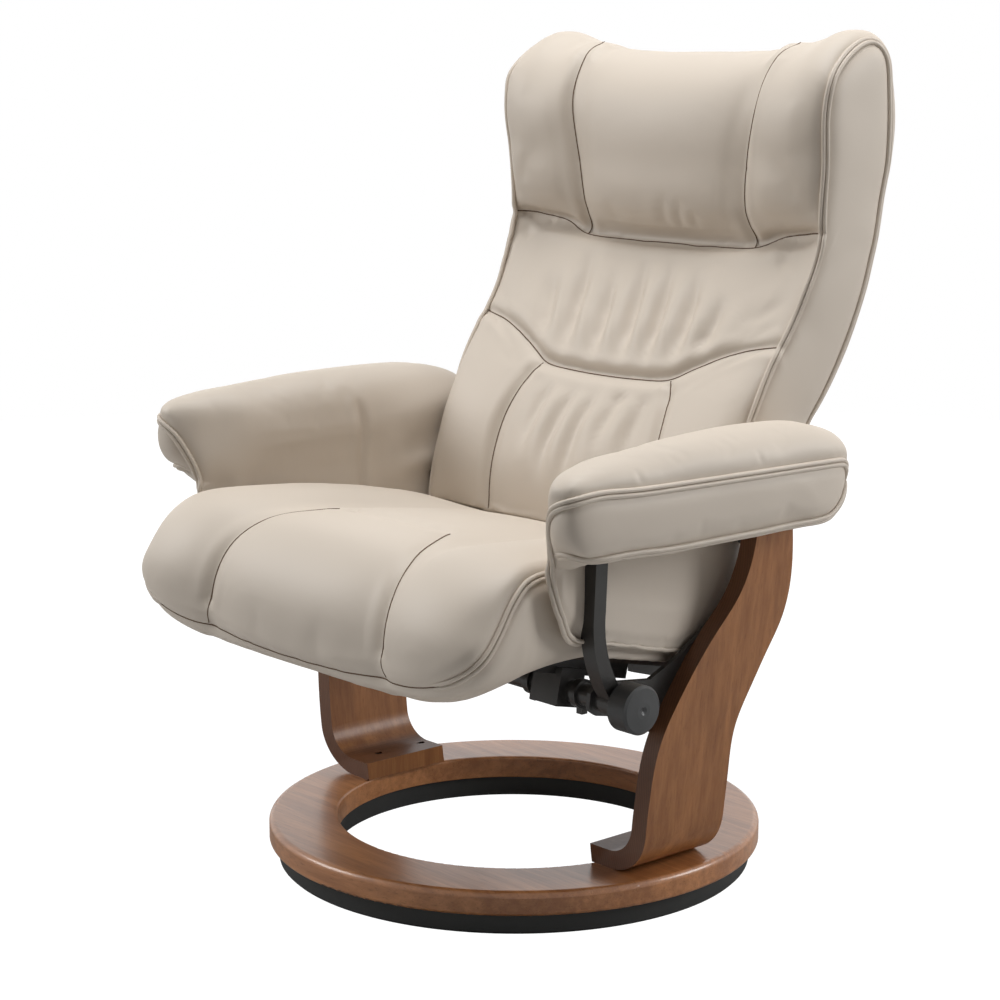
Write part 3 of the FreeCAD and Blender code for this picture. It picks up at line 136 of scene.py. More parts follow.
class Socket:
    """One output of a node, with arithmetic that adds Math nodes."""

    def __init__(self, shader, link):
        self.shader = shader
        self.link = link

    def maths(self, operation, *values):
        return self.shader.node("ShaderNodeMath", {"operation": operation},
                                dict(enumerate(values)))

    def __add__(self, other):
        return self.maths("ADD", self, other)

    def __radd__(self, other):
        return self.maths("ADD", other, self)

    def __sub__(self, other):
        return self.maths("SUBTRACT", self, other)

    def __rsub__(self, other):
        return self.maths("SUBTRACT", other, self)

    def __mul__(self, other):
        return self.maths("MULTIPLY", self, other)

    def __rmul__(self, other):
        return self.maths("MULTIPLY", other, self)

    def __truediv__(self, other):
        return self.maths("DIVIDE", self, other)

    def __abs__(self):
        return self.maths("ABSOLUTE", self)

    def ramp(self, low, high, start=0.0, end=1.0):
        """Runs smoothly from start to end while the value runs from low to high."""
        return self.shader.node("ShaderNodeMapRange", {"interpolation_type": "SMOOTHSTEP"},
                                {"Value": self, "From Min": low, "From Max": high,
                                 "To Min": start, "To Max": end})


class Shader:
    """A new node material with one principled shader."""

    def __init__(self, name, **constants):
        self.material = bpy.data.materials.new(name)
        self.material.use_nodes = True
        self.tree = self.material.node_tree
        self.surface = self.tree.nodes["Principled BSDF"]
        for socket, value in constants.items():
            self.surface.inputs[socket.replace("_", " ")].default_value = value

    def node(self, kind, settings=None, inputs=None, output=0):
        """Adds a node, sets it, fills its sockets with values or links and returns an output."""
        made = self.tree.nodes.new(kind)
        for name, value in (settings or {}).items():
            setattr(made, name, value)
        for name, value in (inputs or {}).items():
            if isinstance(value, Socket):
                self.tree.links.new(value.link, made.inputs[name])
            else:
                made.inputs[name].default_value = value
        return Socket(self, made.outputs[output])

    def place(self, scale=(1, 1, 1), turn=(0, 0, 0), shift=(0, 0, 0)):
        """Object coordinates, moved, turned and stretched."""
        spot = self.node("ShaderNodeTexCoord", output="Object")
        return self.node("ShaderNodeMapping", {},
                         {"Vector": spot, "Location": shift, "Rotation": turn, "Scale": scale})

    def noise(self, vector, scale, detail=2.0, rough=0.5, distortion=0.0):
        return self.node("ShaderNodeTexNoise", {},
                         {"Vector": vector, "Scale": scale, "Detail": detail,
                          "Roughness": rough, "Distortion": distortion})

    def mix(self, factor, first, second, blend="MIX"):
        """Mixes two colours."""
        return self.node("ShaderNodeMix", {"data_type": "RGBA", "blend_type": blend},
                         {0: factor, 6: first, 7: second}, output=2)

    def bump(self, height, strength, distance):
        return self.node("ShaderNodeBump", {},
                         {"Height": height, "Strength": strength, "Distance": distance})

    def feed(self, **sockets):
        """Links what varies over the surface to the principled shader."""
        for name, value in sockets.items():
            self.tree.links.new(value.link, self.surface.inputs[name.replace("_", " ")])
        return self.material


def leather(settings):
    """Warm grey leather with fine pebbles, soft creases and painted shade along seams."""
    shader = Shader("leather", Roughness=0.5, Specular_IOR_Level=0.28)
    spot = shader.place()
    pebble = shader.node("ShaderNodeTexVoronoi", {"feature": "SMOOTH_F1"},
                         {"Vector": spot, "Scale": 560.0, "Smoothness": 0.6})
    crease = shader.noise(spot, 240.0, 4.0, 0.6, 0.4)
    broad = shader.noise(spot, 7.0, 3.0, 0.55)
    blotch = shader.noise(spot, 34.0, 4.0, 0.6)
    # The seam attribute is painted shade: it darkens the colour beside seams and welts, where
    # shade falls in the dip.
    seam = shader.node("ShaderNodeAttribute", {"attribute_name": "seam"}, output="Fac")
    tone = (broad - 0.5) * 0.09 + (blotch - 0.5) * 0.05 + (pebble - 0.5) * 0.03
    base = shader.node("ShaderNodeHueSaturation", {},
                       {"Color": colour(settings.colour), "Value": 1.0 + tone - seam * 0.42,
                        "Saturation": 1.0 + seam * 0.2})
    gather = shader.node("ShaderNodeAttribute", {"attribute_name": "gather"}, output="Fac")
    pucker = shader.noise(spot, 105.0, 2.0, 0.5, 0.3)
    height = pebble * 0.11 + crease * 0.08 + pucker * gather * 1.3
    return shader.feed(Base_Color=base,
                       Roughness=0.46 + (blotch - 0.5) * 0.16 + crease * 0.06,
                       Normal=shader.bump(height, 0.6, 0.001))


def slit(settings):
    """A tube of painted shade: the shaded slit where two panels are sewn together."""
    shader = Shader("seam_slit_shade", Roughness=0.85, Specular_IOR_Level=0.05)
    fleck = shader.noise(shader.place(), 900.0, 2.0)
    base = shader.mix(fleck.ramp(0.35, 0.7), colour(settings.slit_shade_colour),
                      colour([0.55 * v for v in settings.slit_shade_colour]))
    return shader.feed(Base_Color=base, Roughness=0.75 + fleck * 0.15,
                       Normal=shader.bump(fleck, 0.2, 0.0003))


def walnut(settings, name, run, coat, tone=1.0, laminated=False):
    """Satin wood, lightened by a tone as painted sheen. The grain runs along the axis that run
    names.
    """
    shader = Shader(name, Roughness=0.36, Coat_Weight=coat, Coat_Roughness=0.22,
                    Specular_IOR_Level=0.28)
    stretch = {"Z": (1.0, 1.0, 0.07), "X": (0.07, 1.0, 1.0)}[run]
    spot = shader.place(scale=stretch)
    swirl = shader.noise(spot, 16.0, 3.0, 0.6, 0.5)
    streak = shader.noise(spot, 95.0, 4.0, 0.65)
    pores = shader.noise(spot, 420.0, 3.0, 0.6)
    broad = shader.noise(spot, 5.0, 2.0, 0.5)
    grain = swirl * 0.45 + streak * 0.4 + broad * 0.15
    base = shader.mix(grain.ramp(0.33, 0.66), colour([tone * v for v in settings.light]),
                      colour([tone * v for v in settings.dark]))
    dark_pores = pores.ramp(0.56, 0.7)
    base = shader.mix(dark_pores * 0.35, base, colour([0.5 * v for v in settings.dark]))
    height = streak * 0.5 - dark_pores * 0.8
    if laminated:
        normal = shader.node("ShaderNodeNewGeometry", output="Normal")
        edge = 1.0 - abs(shader.node("ShaderNodeSeparateXYZ", {}, {"Vector": normal})).ramp(
            0.3, 0.7)
        ply_run = shader.place(turn=(0, math.radians(7), 0))
        plies = shader.node("ShaderNodeTexWave", {"bands_direction": "X"},
                            {"Vector": ply_run, "Scale": 80.0, "Distortion": 0.5,
                             "Detail": 2.0}, output="Fac")
        bent = shader.mix(plies * 0.6, colour(settings.edge),
                          colour([1.7 * v for v in settings.edge]))
        base = shader.mix(edge * 0.85, base, bent)
    return shader.feed(Base_Color=base, Roughness=0.32 + streak * 0.14,
                       Normal=shader.bump(height, 0.1, 0.0004))


def plain(name, tint, roughness, metallic=0.0, grit=400.0, strength=0.08):
    """A dull or satin finish with fine grit and slight wear."""
    shader = Shader(name, Roughness=roughness, Metallic=metallic)
    spot = shader.place()
    fine = shader.noise(spot, grit, 3.0, 0.6)
    broad = shader.noise(spot, 14.0, 3.0, 0.55)
    base = shader.mix(broad.ramp(0.3, 0.75), colour([0.85 * v for v in tint]),
                      colour([min(1.0, 1.18 * v) for v in tint]))
    return shader.feed(Base_Color=base, Roughness=roughness - 0.06 + broad * 0.12,
                       Normal=shader.bump(fine, strength, 0.0003))


def plywood(name):
    """Dark stained plywood with fine grain and plies on its edges."""
    shader = Shader(name, Roughness=0.62)
    grain = shader.noise(shader.place(scale=(2.0, 26.0, 26.0)), 5.0, 4.0, 0.6, 0.3)
    plies = shader.node("ShaderNodeTexWave", {"bands_direction": "Z"},
                        {"Vector": shader.place(), "Scale": 110.0, "Distortion": 0.4},
                        output="Fac")
    base = shader.mix(grain.ramp(0.3, 0.7), (0.07, 0.05, 0.036, 1), (0.045, 0.032, 0.024, 1))
    base = shader.mix(plies * 0.3, base, (0.03, 0.02, 0.015, 1))
    return shader.feed(Base_Color=base, Roughness=0.55 + grain * 0.15,
                       Normal=shader.bump(grain, 0.15, 0.0004))


def make_materials(scene):
    hide, timber = scene.recliner_leather, scene.recliner_wood
    return {
        "leather": leather(hide),
        "slit": slit(hide),
        "leg_wood": walnut(timber, "walnut_leg", "Z", 0.12, laminated=True),
        # The ring's lighter tone is painted sheen: a lighter copy of the wood for the highlight
        # on its satin top.
        "ring_wood_painted_sheen": walnut(timber, "walnut_ring_painted_sheen", "X", 0.85, tone=1.45),
        "rubber": plain("ring_rubber", (0.016, 0.017, 0.016), 0.62, grit=700.0, strength=0.2),
        "black_steel": plain("satin_black_steel", (0.046, 0.044, 0.042), 0.34, 0.35, 900.0, 0.1),
        "black_plastic": plain("matte_black_plastic", (0.036, 0.037, 0.038), 0.42, 0.0, 800.0,
                               0.12),
        "bearing": plain("bearing_steel", (0.46, 0.46, 0.47), 0.3, 1.0, 500.0, 0.05),
        "fastener": plain("blackened_screws", (0.05, 0.045, 0.04), 0.34, 0.8, 600.0, 0.08),
        "ply": plywood("seat_plywood"),
    }


# Lines over a surface

def rounded(points, step=0.002):
    """Evenly close points on a smooth curve through the given ones."""
    ends = [2 * points[0] - points[1], *points, 2 * points[-1] - points[-2]]
    run = []
    for before, start, stop, after in zip(ends, ends[1:], ends[2:], ends[3:]):
        count = max(2, int(np.linalg.norm(stop - start) / step))
        for t in np.arange(count) / count:
            run.append(0.5 * (2 * start + (stop - before) * t
                              + (2 * before - 5 * start + 4 * stop - after) * t ** 2
                              + (3 * start - before - 3 * stop + after) * t ** 3))
    run.append(points[-1])
    return np.array(run)


def mirrored(points):
    return [(-x, y, z) for x, y, z in points]


class Line:
    """A smooth line laid on a surface, with the surface's normal at each point."""

    def __init__(self, tree, points, evening=40):
        curve = rounded([np.array(point) * MILLIMETRE for point in points])
        hits = [tree.find_nearest(Vector(point)) for point in curve]
        self.points = np.array([hit[0] for hit in hits])
        self.normals = np.array([hit[1] for hit in hits])
        for _ in range(evening):
            self.points[1:-1] = (self.points[:-2] + 2 * self.points[1:-1] + self.points[2:]) / 4
            self.normals[1:-1] = (self.normals[:-2] + 2 * self.normals[1:-1]
                                  + self.normals[2:]) / 4
        self.normals /= np.linalg.norm(self.normals, axis=1, keepdims=True)

    def fade(self, start, end):
        """A strength for each point that fades in and out over shares of the length."""
        share = np.linspace(0, 1, len(self.points))
        rise = np.clip(share / start, 0, 1) if start else 1.0
        fall = np.clip((1 - share) / end, 0, 1) if end else 1.0
        ease = np.minimum(rise, fall) * np.ones(len(share))
        return ease * ease * (3 - 2 * ease)

    def shorten(self, start, end):
        """Keeps the line between two shares of its length."""
        keep = slice(int(start * len(self.points)), int(end * len(self.points)))
        self.points, self.normals = self.points[keep], self.normals[keep]

    def settle(self, tree, reach=0.019):
        """Moves the line in or out along its normals onto a changed surface."""
        for index, (point, normal) in enumerate(zip(self.points, self.normals)):
            start = Vector(point + reach * normal)
            hit = tree.ray_cast(start, Vector(-normal), 2 * reach)[0]
            if hit is not None:
                self.points[index] = hit
        for _ in range(6):
            self.points[1:-1] = (self.points[:-2] + 2 * self.points[1:-1] + self.points[2:]) / 4
        return self

    def beside(self, side, lift):
        """The line moved sideways over the surface and lifted off it, by one height or many."""
        along = np.gradient(self.points, axis=0)
        across = np.cross(self.normals, along)
        across /= np.linalg.norm(across, axis=1, keepdims=True)
        return self.points + side * across + np.reshape(lift, (-1, 1)) * self.normals


# Padded covers

def joined_copy(name, sources, collection, grow):
    """One mesh from copies of CAD solids, grown so that neighbours meet."""
    made = bmesh.new()
    for source in sources:
        made.from_mesh(NODES[source].data)
    bmesh.ops.remove_doubles(made, verts=made.verts, dist=1e-5)
    made.normal_update()
    for vert in made.verts:
        vert.co += grow * vert.normal
    mesh = bpy.data.meshes.new(name)
    made.to_mesh(mesh)
    made.free()
    piece = bpy.data.objects.new(name, mesh)
    collection.objects.link(piece)
    return piece


def apply_modifiers(piece):
    """Bakes a piece's modifiers into its mesh."""
    graph = bpy.context.evaluated_depsgraph_get()
    mesh = bpy.data.meshes.new_from_object(piece.evaluated_get(graph))
    piece.modifiers.clear()
    old = piece.data
    piece.data = mesh
    bpy.data.meshes.remove(old)


def vectors(mesh, name):
    flat = np.empty(len(mesh.vertices) * 3)
    mesh.vertices.foreach_get(name, flat)
    return flat.reshape(-1, 3)


def set_points(mesh, points):
    mesh.vertices.foreach_set("co", points.ravel())
    mesh.update()


def evened(piece, step, rounds):
    """Even quads over a copied solid, with its facets smoothed away."""
    remesh = piece.modifiers.new("even", "REMESH")
    remesh.mode = "VOXEL"
    remesh.voxel_size = step
    apply_modifiers(piece)
    relax = piece.modifiers.new("relax", "SMOOTH")
    relax.factor = 0.5
    relax.iterations = rounds
    apply_modifiers(piece)


def swelled(piece, settings):
    """Lets the filling press the cover out as cloth, without making the piece larger."""
    before = vectors(piece.data, "co")
    outwards = vectors(piece.data, "normal")
    cloth = piece.modifiers.new("filling", "CLOTH")
    cloth.settings.use_pressure = True
    cloth.settings.uniform_pressure_force = settings.pressure
    cloth.settings.effector_weights.gravity = 0.0
    cloth.settings.quality = 4
    cloth.point_cache.frame_start = 1
    cloth.point_cache.frame_end = settings.frames
    scene = bpy.context.scene
    for step in range(1, settings.frames + 1):
        scene.frame_set(step)
    apply_modifiers(piece)
    scene.frame_set(1)
    move = vectors(piece.data, "co") - before
    length = np.linalg.norm(move, axis=1, keepdims=True)
    move *= np.minimum(1.0, settings.cap / np.maximum(length, 1e-9))
    lift = np.sum(move * outwards, axis=1)
    around = Around(piece.data)
    lift = around.averaged(lift, 2) - around.averaged(lift, settings.spread)
    lift = np.clip(lift, -settings.pucker, settings.pucker)
    flat = np.array([around.averaged(outwards[:, axis], 16) for axis in range(3)])
    flat = between(np.linalg.norm(flat, axis=0), 0.97, 2.0, 0.08)
    set_points(piece.data, before + (flat * lift)[:, None] * outwards)


class Around:
    """Averages values over the points next to each point of a mesh."""

    def __init__(self, mesh):
        ends = np.empty(len(mesh.edges) * 2, int)
        mesh.edges.foreach_get("vertices", ends)
        self.starts, self.stops = ends.reshape(-1, 2).T
        self.count = len(mesh.vertices)
        self.degree = np.maximum(1, self.summed(np.ones(self.count)))

    def summed(self, values):
        return (np.bincount(self.starts, values[self.stops], self.count)
                + np.bincount(self.stops, values[self.starts], self.count))

    def averaged(self, values, rounds):
        for _ in range(rounds):
            values = (values + self.summed(values) / self.degree) / 2
        return values


def relaxed(piece, weights, rounds):
    """Smooths a mesh where the weights are above nought."""
    around = Around(piece.data)
    points = vectors(piece.data, "co")
    for _ in range(rounds):
        for axis in range(3):
            even = around.averaged(points[:, axis], 1)
            points[:, axis] += weights * (even - points[:, axis])
    set_points(piece.data, points)


def between(values, low, high, blend):
    """One where values lie between two bounds, fading to nought outside them."""
    inside = np.minimum(values - low, high - values) / blend + 1
    return np.clip(inside, 0, 1)


class Cover:
    """A padded cover while seams and folds are pressed into it."""

    def __init__(self, piece):
        self.mesh = piece.data
        self.tree = BVHTree.FromObject(piece, bpy.context.evaluated_depsgraph_get())
        self.points = vectors(self.mesh, "co")
        self.normals = vectors(self.mesh, "normal")
        # Painted shade beside seams and welts, which darkens the leather's colour
        self.painted_shade = np.zeros(len(self.points))
        self.gather = np.zeros(len(self.points))

    def lay(self, points):
        return Line(self.tree, points)

    def near(self, line, reach):
        """Indices of the cover's points near a line, their distance and nearest line point."""
        low, high = line.points.min(axis=0) - reach, line.points.max(axis=0) + reach
        inside = np.all((self.points > low) & (self.points < high), axis=1)
        search = KDTree(len(line.points))
        for index, point in enumerate(line.points):
            search.insert(point, index)
        search.balance()
        chosen, distances, spots = [], [], []
        for index in np.flatnonzero(inside):
            hit = search.find(self.points[index])
            if hit[2] < reach:
                chosen.append(index)
                distances.append(hit[2])
                spots.append(hit[1])
        chosen, spots = np.array(chosen, int), np.array(spots, int)
        facing = np.sum(self.normals[chosen] * line.normals[spots], axis=1) > 0.1
        return chosen[facing], np.array(distances)[facing], spots[facing]

    def press(self, line, width, depth, puff=0.0, strength=None, painted_shade=False):
        """Sinks the leather along a line and lets it swell a little on both sides."""
        chosen, distances, spots = self.near(line, 5 * width)
        share = 1.0 if strength is None else strength[spots]
        dip = share * np.exp(-(distances / width) ** 2)
        swell = share * np.exp(-((distances - 2.4 * width) / (1.2 * width)) ** 2)
        self.points[chosen] += (puff * swell - depth * dip)[:, None] * self.normals[chosen]
        # Paints shade into the colour along the line, where the dip is shaded, and marks where
        # the leather puckers.
        if painted_shade:
            dark = share * np.exp(-(distances / (0.5 * width)) ** 2)
            self.painted_shade[chosen] = np.maximum(self.painted_shade[chosen], dark)
            near = share * np.exp(-(distances / (1.8 * width)) ** 2)
            self.gather[chosen] = np.maximum(self.gather[chosen], near)

    def roll(self, line, depth, above, below):
        """Draws the leather in over a broad band above a line, so that it rolls over it."""
        chosen, distances, spots = self.near(line, above)
        higher = self.points[chosen, 2] > line.points[spots, 2]
        share = np.clip(1 - distances / np.where(higher, above, below), 0, 1) ** 1.6
        share *= line.fade(0.2, 0.2)[spots]
        self.points[chosen] -= (depth * share)[:, None] * self.normals[chosen]

    def wander(self, scale, height):
        """Slow dents and swells, as hide over foam has."""
        for index, point in enumerate(self.points):
            lift = height * noise.noise(Vector(point) * scale)
            self.points[index] += lift * self.normals[index]

    def finish(self):
        set_points(self.mesh, self.points)
        # The seam attribute carries the painted shade beside seams and welts; gather carries the
        # puckers.
        for name, values in (("seam", self.painted_shade), ("gather", self.gather)):
            self.mesh.attributes.new(name, "FLOAT", "POINT").data.foreach_set("value", values)


def tubes(name, lines, radius, material, body, collection):
    """Round cords along lines as one closed mesh."""
    curve = bpy.data.curves.new(name, "CURVE")
    curve.dimensions = "3D"
    curve.bevel_depth = radius
    curve.bevel_resolution = 1
    curve.use_fill_caps = True
    for points in lines:
        spline = curve.splines.new("POLY")
        spline.points.add(len(points) - 1)
        flat = np.concatenate([points, np.ones((len(points), 1))], axis=1)
        spline.points.foreach_set("co", flat.ravel())
    source = bpy.data.objects.new(name, curve)
    collection.objects.link(source)
    mesh = bpy.data.meshes.new_from_object(source)
    bpy.data.objects.remove(source)
    made = bmesh.new()
    made.from_mesh(mesh)
    bmesh.ops.remove_doubles(made, verts=made.verts, dist=1e-6)
    bmesh.ops.recalc_face_normals(made, faces=made.faces)
    made.to_mesh(mesh)
    made.free()
    mesh.name = name
    mesh.shade_smooth()
    mesh.materials.clear()
    mesh.materials.append(material)
    piece = bpy.data.objects.new(name, mesh)
    collection.objects.link(piece)
    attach(piece, body)
    return piece


# Seams, folds and welts, in millimetres

SEAT_CHANNEL = [(183, -366, 335), (176, -368, 372), (173, -357, 413), (168, -337, 446),
                (156, -303, 472), (138, -262, 480), (119, -226, 479), (107, -198, 474),
                (113, -150, 468), (128, -90, 460), (142, -30, 452), (150, 50, 438)]
SEAT_CROSS = [(-107, -198, 474), (-60, -211, 478), (0, -217, 479), (60, -211, 478),
              (107, -198, 474)]
SEAT_RIM = [(335, -150, 478), (336, -218, 478), (337, -252, 477), (339, -283, 467),
            (341, -306, 447), (341, -326, 419), (338, -344, 396), (325, -360, 377),
            (300, -368, 362), (263, -370, 351), (200, -368, 341), (100, -364, 338),
            (0, -362, 337)]
BACK_WAIST = [(-296, 199, 703), (-250, 193, 694), (-200, 185, 678), (-150, 172, 656),
              (-118, 163, 642), (-60, 161, 637), (0, 160, 636), (60, 161, 637),
              (118, 163, 642), (150, 172, 656), (200, 185, 678), (250, 193, 694),
              (296, 199, 703)]
BACK_NECK = [(-299, 254, 837), (-250, 279, 831), (-205, 281, 824), (-160, 281, 811),
             (-80, 281, 808), (0, 281, 807), (80, 281, 808), (160, 281, 811),
             (205, 281, 824), (250, 279, 831), (299, 254, 837)]
BACK_LOWER = [(124, 163, 641), (138, 148, 621), (148, 115, 576), (150, 92, 520),
              (149, 76, 458), (149, 74, 434)]
HEAD_CHANNEL = [(160, 281, 811), (154, 273, 842), (155, 264, 885), (162, 258, 940),
                (170, 260, 985), (175, 270, 1015), (182, 310, 1062), (186, 335, 1068)]
LUMBAR_FOLDS = (
    ([(-132, 271, 800), (-118, 239, 760), (-104, 204, 714), (-84, 170, 646)], 13, 12),
    ([(-64, 250, 775), (-50, 216, 728), (-38, 191, 696), (-28, 166, 645)], 12, 10),
    ([(-22, 270, 797), (-6, 234, 752), (8, 207, 717), (20, 178, 676), (24, 165, 645)], 12, 12),
    ([(30, 266, 791), (46, 232, 749), (60, 200, 708), (72, 168, 646)], 11, 11),
    ([(84, 260, 785), (100, 230, 748), (112, 199, 707), (118, 172, 652)], 12, 11),
    ([(156, 237, 758), (160, 202, 711), (150, 180, 668)], 13, 8),
    ([(-190, 245, 770), (-160, 210, 722), (-134, 178, 662)], 16, 9),
    ([(280, 238, 765), (240, 220, 738), (200, 208, 712)], 13, 3.5),
    ([(272, 215, 722), (236, 205, 708), (205, 196, 697)], 10, 2),
    ([(-280, 262, 822), (-255, 255, 800)], 12, 3),
    ([(240, 262, 822), (222, 250, 790)], 12, 3),
)
LOWER_FOLDS = (
    ([(-78, 140, 626), (-87, 114, 576), (-92, 92, 510)], 13, 6),
    ([(-28, 145, 626), (-38, 112, 579), (-43, 91, 535), (-41, 81, 470)], 13, 8),
    ([(17, 146, 626), (3, 113, 580), (1, 90, 534), (1, 77, 460)], 13, 8),
    ([(58, 149, 627), (52, 121, 592), (46, 103, 536)], 13, 7),
    ([(98, 152, 625), (98, 125, 586), (92, 100, 520)], 14, 5),
)
HEAD_FOLDS = (
    ([(26, 250, 885), (10, 268, 822)], 9, 2),
    ([(52, 250, 878), (38, 267, 822)], 8, 2),
    ([(74, 255, 862), (66, 268, 826)], 7, 1.5),
    ([(-90, 255, 870), (-84, 268, 826)], 12, 1.5),
)
SEAT_FOLDS = (
    ([(-104, -205, 478), (-94, -232, 480)], 6, 2),
    ([(-92, -190, 474), (-70, -215, 478)], 6, 2.5),
    ([(60, -345, 345), (66, -362, 400)], 14, 1.5),
    ([(-60, -345, 345), (-52, -362, 400)], 16, 1.2),
)
# The double welt of the arm: along its outer top edge from the rear, round its front and down
# the panel's edge.
ARM_WELT = [(392, 203, 541), (404, 199, 556), (412, 184, 567), (419, 150, 571), (421, 51, 573),
            (421, -87, 575), (421, -186, 577), (419, -240, 580), (413, -272, 577),
            (390, -289, 567), (366, -290, 552), (353, -280, 526), (350, -270, 502),
            (352, -265, 484), (354, -259, 466), (354, -248, 436), (347, -230, 404),
            (340, -210, 389), (333, -180, 381), (326, -140, 371), (318, -74, 355),
            (309, 8, 336), (304, 50, 330)]
ARM_LOWER_WELT = [(404, 200, 538), (414, 182, 518), (419, 150, 503), (420, 71, 499),
                  (420, -112, 499), (420, -184, 501), (415, -235, 504), (402, -262, 507),
                  (384, -274, 505), (368, -272, 498), (355, -268, 494)]
ARM_DART = [(322, -20, 600), (314, -12, 570), (311, -8, 541), (311, -9, 510), (311, -10, 480),
            (311, -10, 450)]
ARM_FOLDS = (
    ([(420, -180, 585), (412, -184, 607)], 4, 0.8),
    ([(420, 20, 583), (410, 18, 605)], 4, 0.8),
)
# The double welt of the back runs up the front of each side, over the wing and down behind.
BACK_WELT = [(281, 86, 425), (281, 100, 470), (283, 122, 543), (286, 143, 600),
             (289, 177, 668), (293, 216, 730), (298, 248, 805), (301, 256, 862),
             (303, 259, 921), (306, 253, 991), (308, 262, 1035), (307, 285, 1062),
             (304, 312, 1078), (301, 338, 1085), (301, 356, 1080), (304, 370, 1063),
             (307, 378, 1035), (303, 384, 960), (300, 385, 900), (296, 368, 800),
             (289, 333, 700), (284, 280, 600), (280, 219, 500), (277, 180, 430)]


def metres(value):
    return value * MILLIMETRE


def press_folds(cover, folds, start, end):
    """Presses soft folds that fade out over shares of their length at both ends."""
    for points, width, depth in folds:
        line = cover.lay(points)
        cover.press(line, metres(width), metres(depth), metres(SWELL_SHARE * depth),
                    line.fade(start, end))


# The operators

class RECLINER_OT_finishes(bpy.types.Operator):
    """Gives every bare part its wood, steel, rubber or plastic finish"""
    bl_idname = "recliner.finishes"
    bl_label = "Wood, Steel and Plastic"

    def execute(self, context):
        made = make_materials(context.scene)
        finishes = {
            "ring_wood_painted_sheen": ("wood_ring",),
            "leg_wood": ("leg_left", "leg_right"),
            "rubber": ("floor_ring",),
            "bearing": ("lower_race", "upper_race", "bearing_balls"),
            "fastener": ("race_screws", "foot_screws", "leg_bolts", "knob_washers"),
            "black_plastic": ("knob_left", "knob_right", "ball_cage"),
            "ply": ("seat_board", "arm_board_left", "arm_board_right", "back_board"),
        }
        chosen = {node: made[finish] for finish, names in finishes.items() for node in names}
        for name, node in NODES.items():
            node.data.materials.clear()
            node.data.materials.append(chosen.get(name, made["black_steel"]))
        return {"FINISHED"}


class CoverMaker:
    """What the operators of the padded covers share."""

    def start(self, context, name, sources):
        """A copy of the padded solids as one even mesh, swelled by its filling."""
        settings = context.scene.recliner_leather
        piece = joined_copy(name, sources, context.scene.collection, settings.close)
        evened(piece, settings.step, EVENING_ROUNDS)
        back = settings.close - LEATHER_LIFT
        set_points(piece.data, vectors(piece.data, "co") - back * vectors(piece.data, "normal"))
        swelled(piece, settings)
        return piece

    def refined(self, piece):
        finer = piece.modifiers.new("finer", "SUBSURF")
        finer.levels = finer.render_levels = 1
        apply_modifiers(piece)
        return Cover(piece)

    def done(self, piece, body, fill, sources):
        piece.data.materials.clear()
        piece.data.materials.append(bpy.data.materials["leather"])
        piece.data.shade_smooth()
        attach(piece, body)
        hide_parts(*sources)

    def slits(self, context, name, tree, lines, body):
        """Lays the dark lines of the seams, tubes of painted shade, on the finished surface."""
        radius = context.scene.recliner_leather.slit
        laid = [line.settle(tree).beside(0.0, SLIT_LIFT) for line in lines]
        tubes(name, laid, radius, bpy.data.materials["seam_slit_shade"], body,
              context.scene.collection)

    def welts(self, context, name, tree, lines, body, sink=0.0):
        """Two cords side by side, which may sink in over the end of a line."""
        radius = context.scene.recliner_leather.cord
        laid = [line.settle(tree) for line in lines]
        cords = [line.beside(side * radius * CORD_SPACING,
                             radius * (CORD_RISE * line.fade(0, sink) - CORD_SUNK))
                 for line in laid for side in (1, -1)]
        tubes(name, cords, radius, bpy.data.materials["leather"], body,
              context.scene.collection)


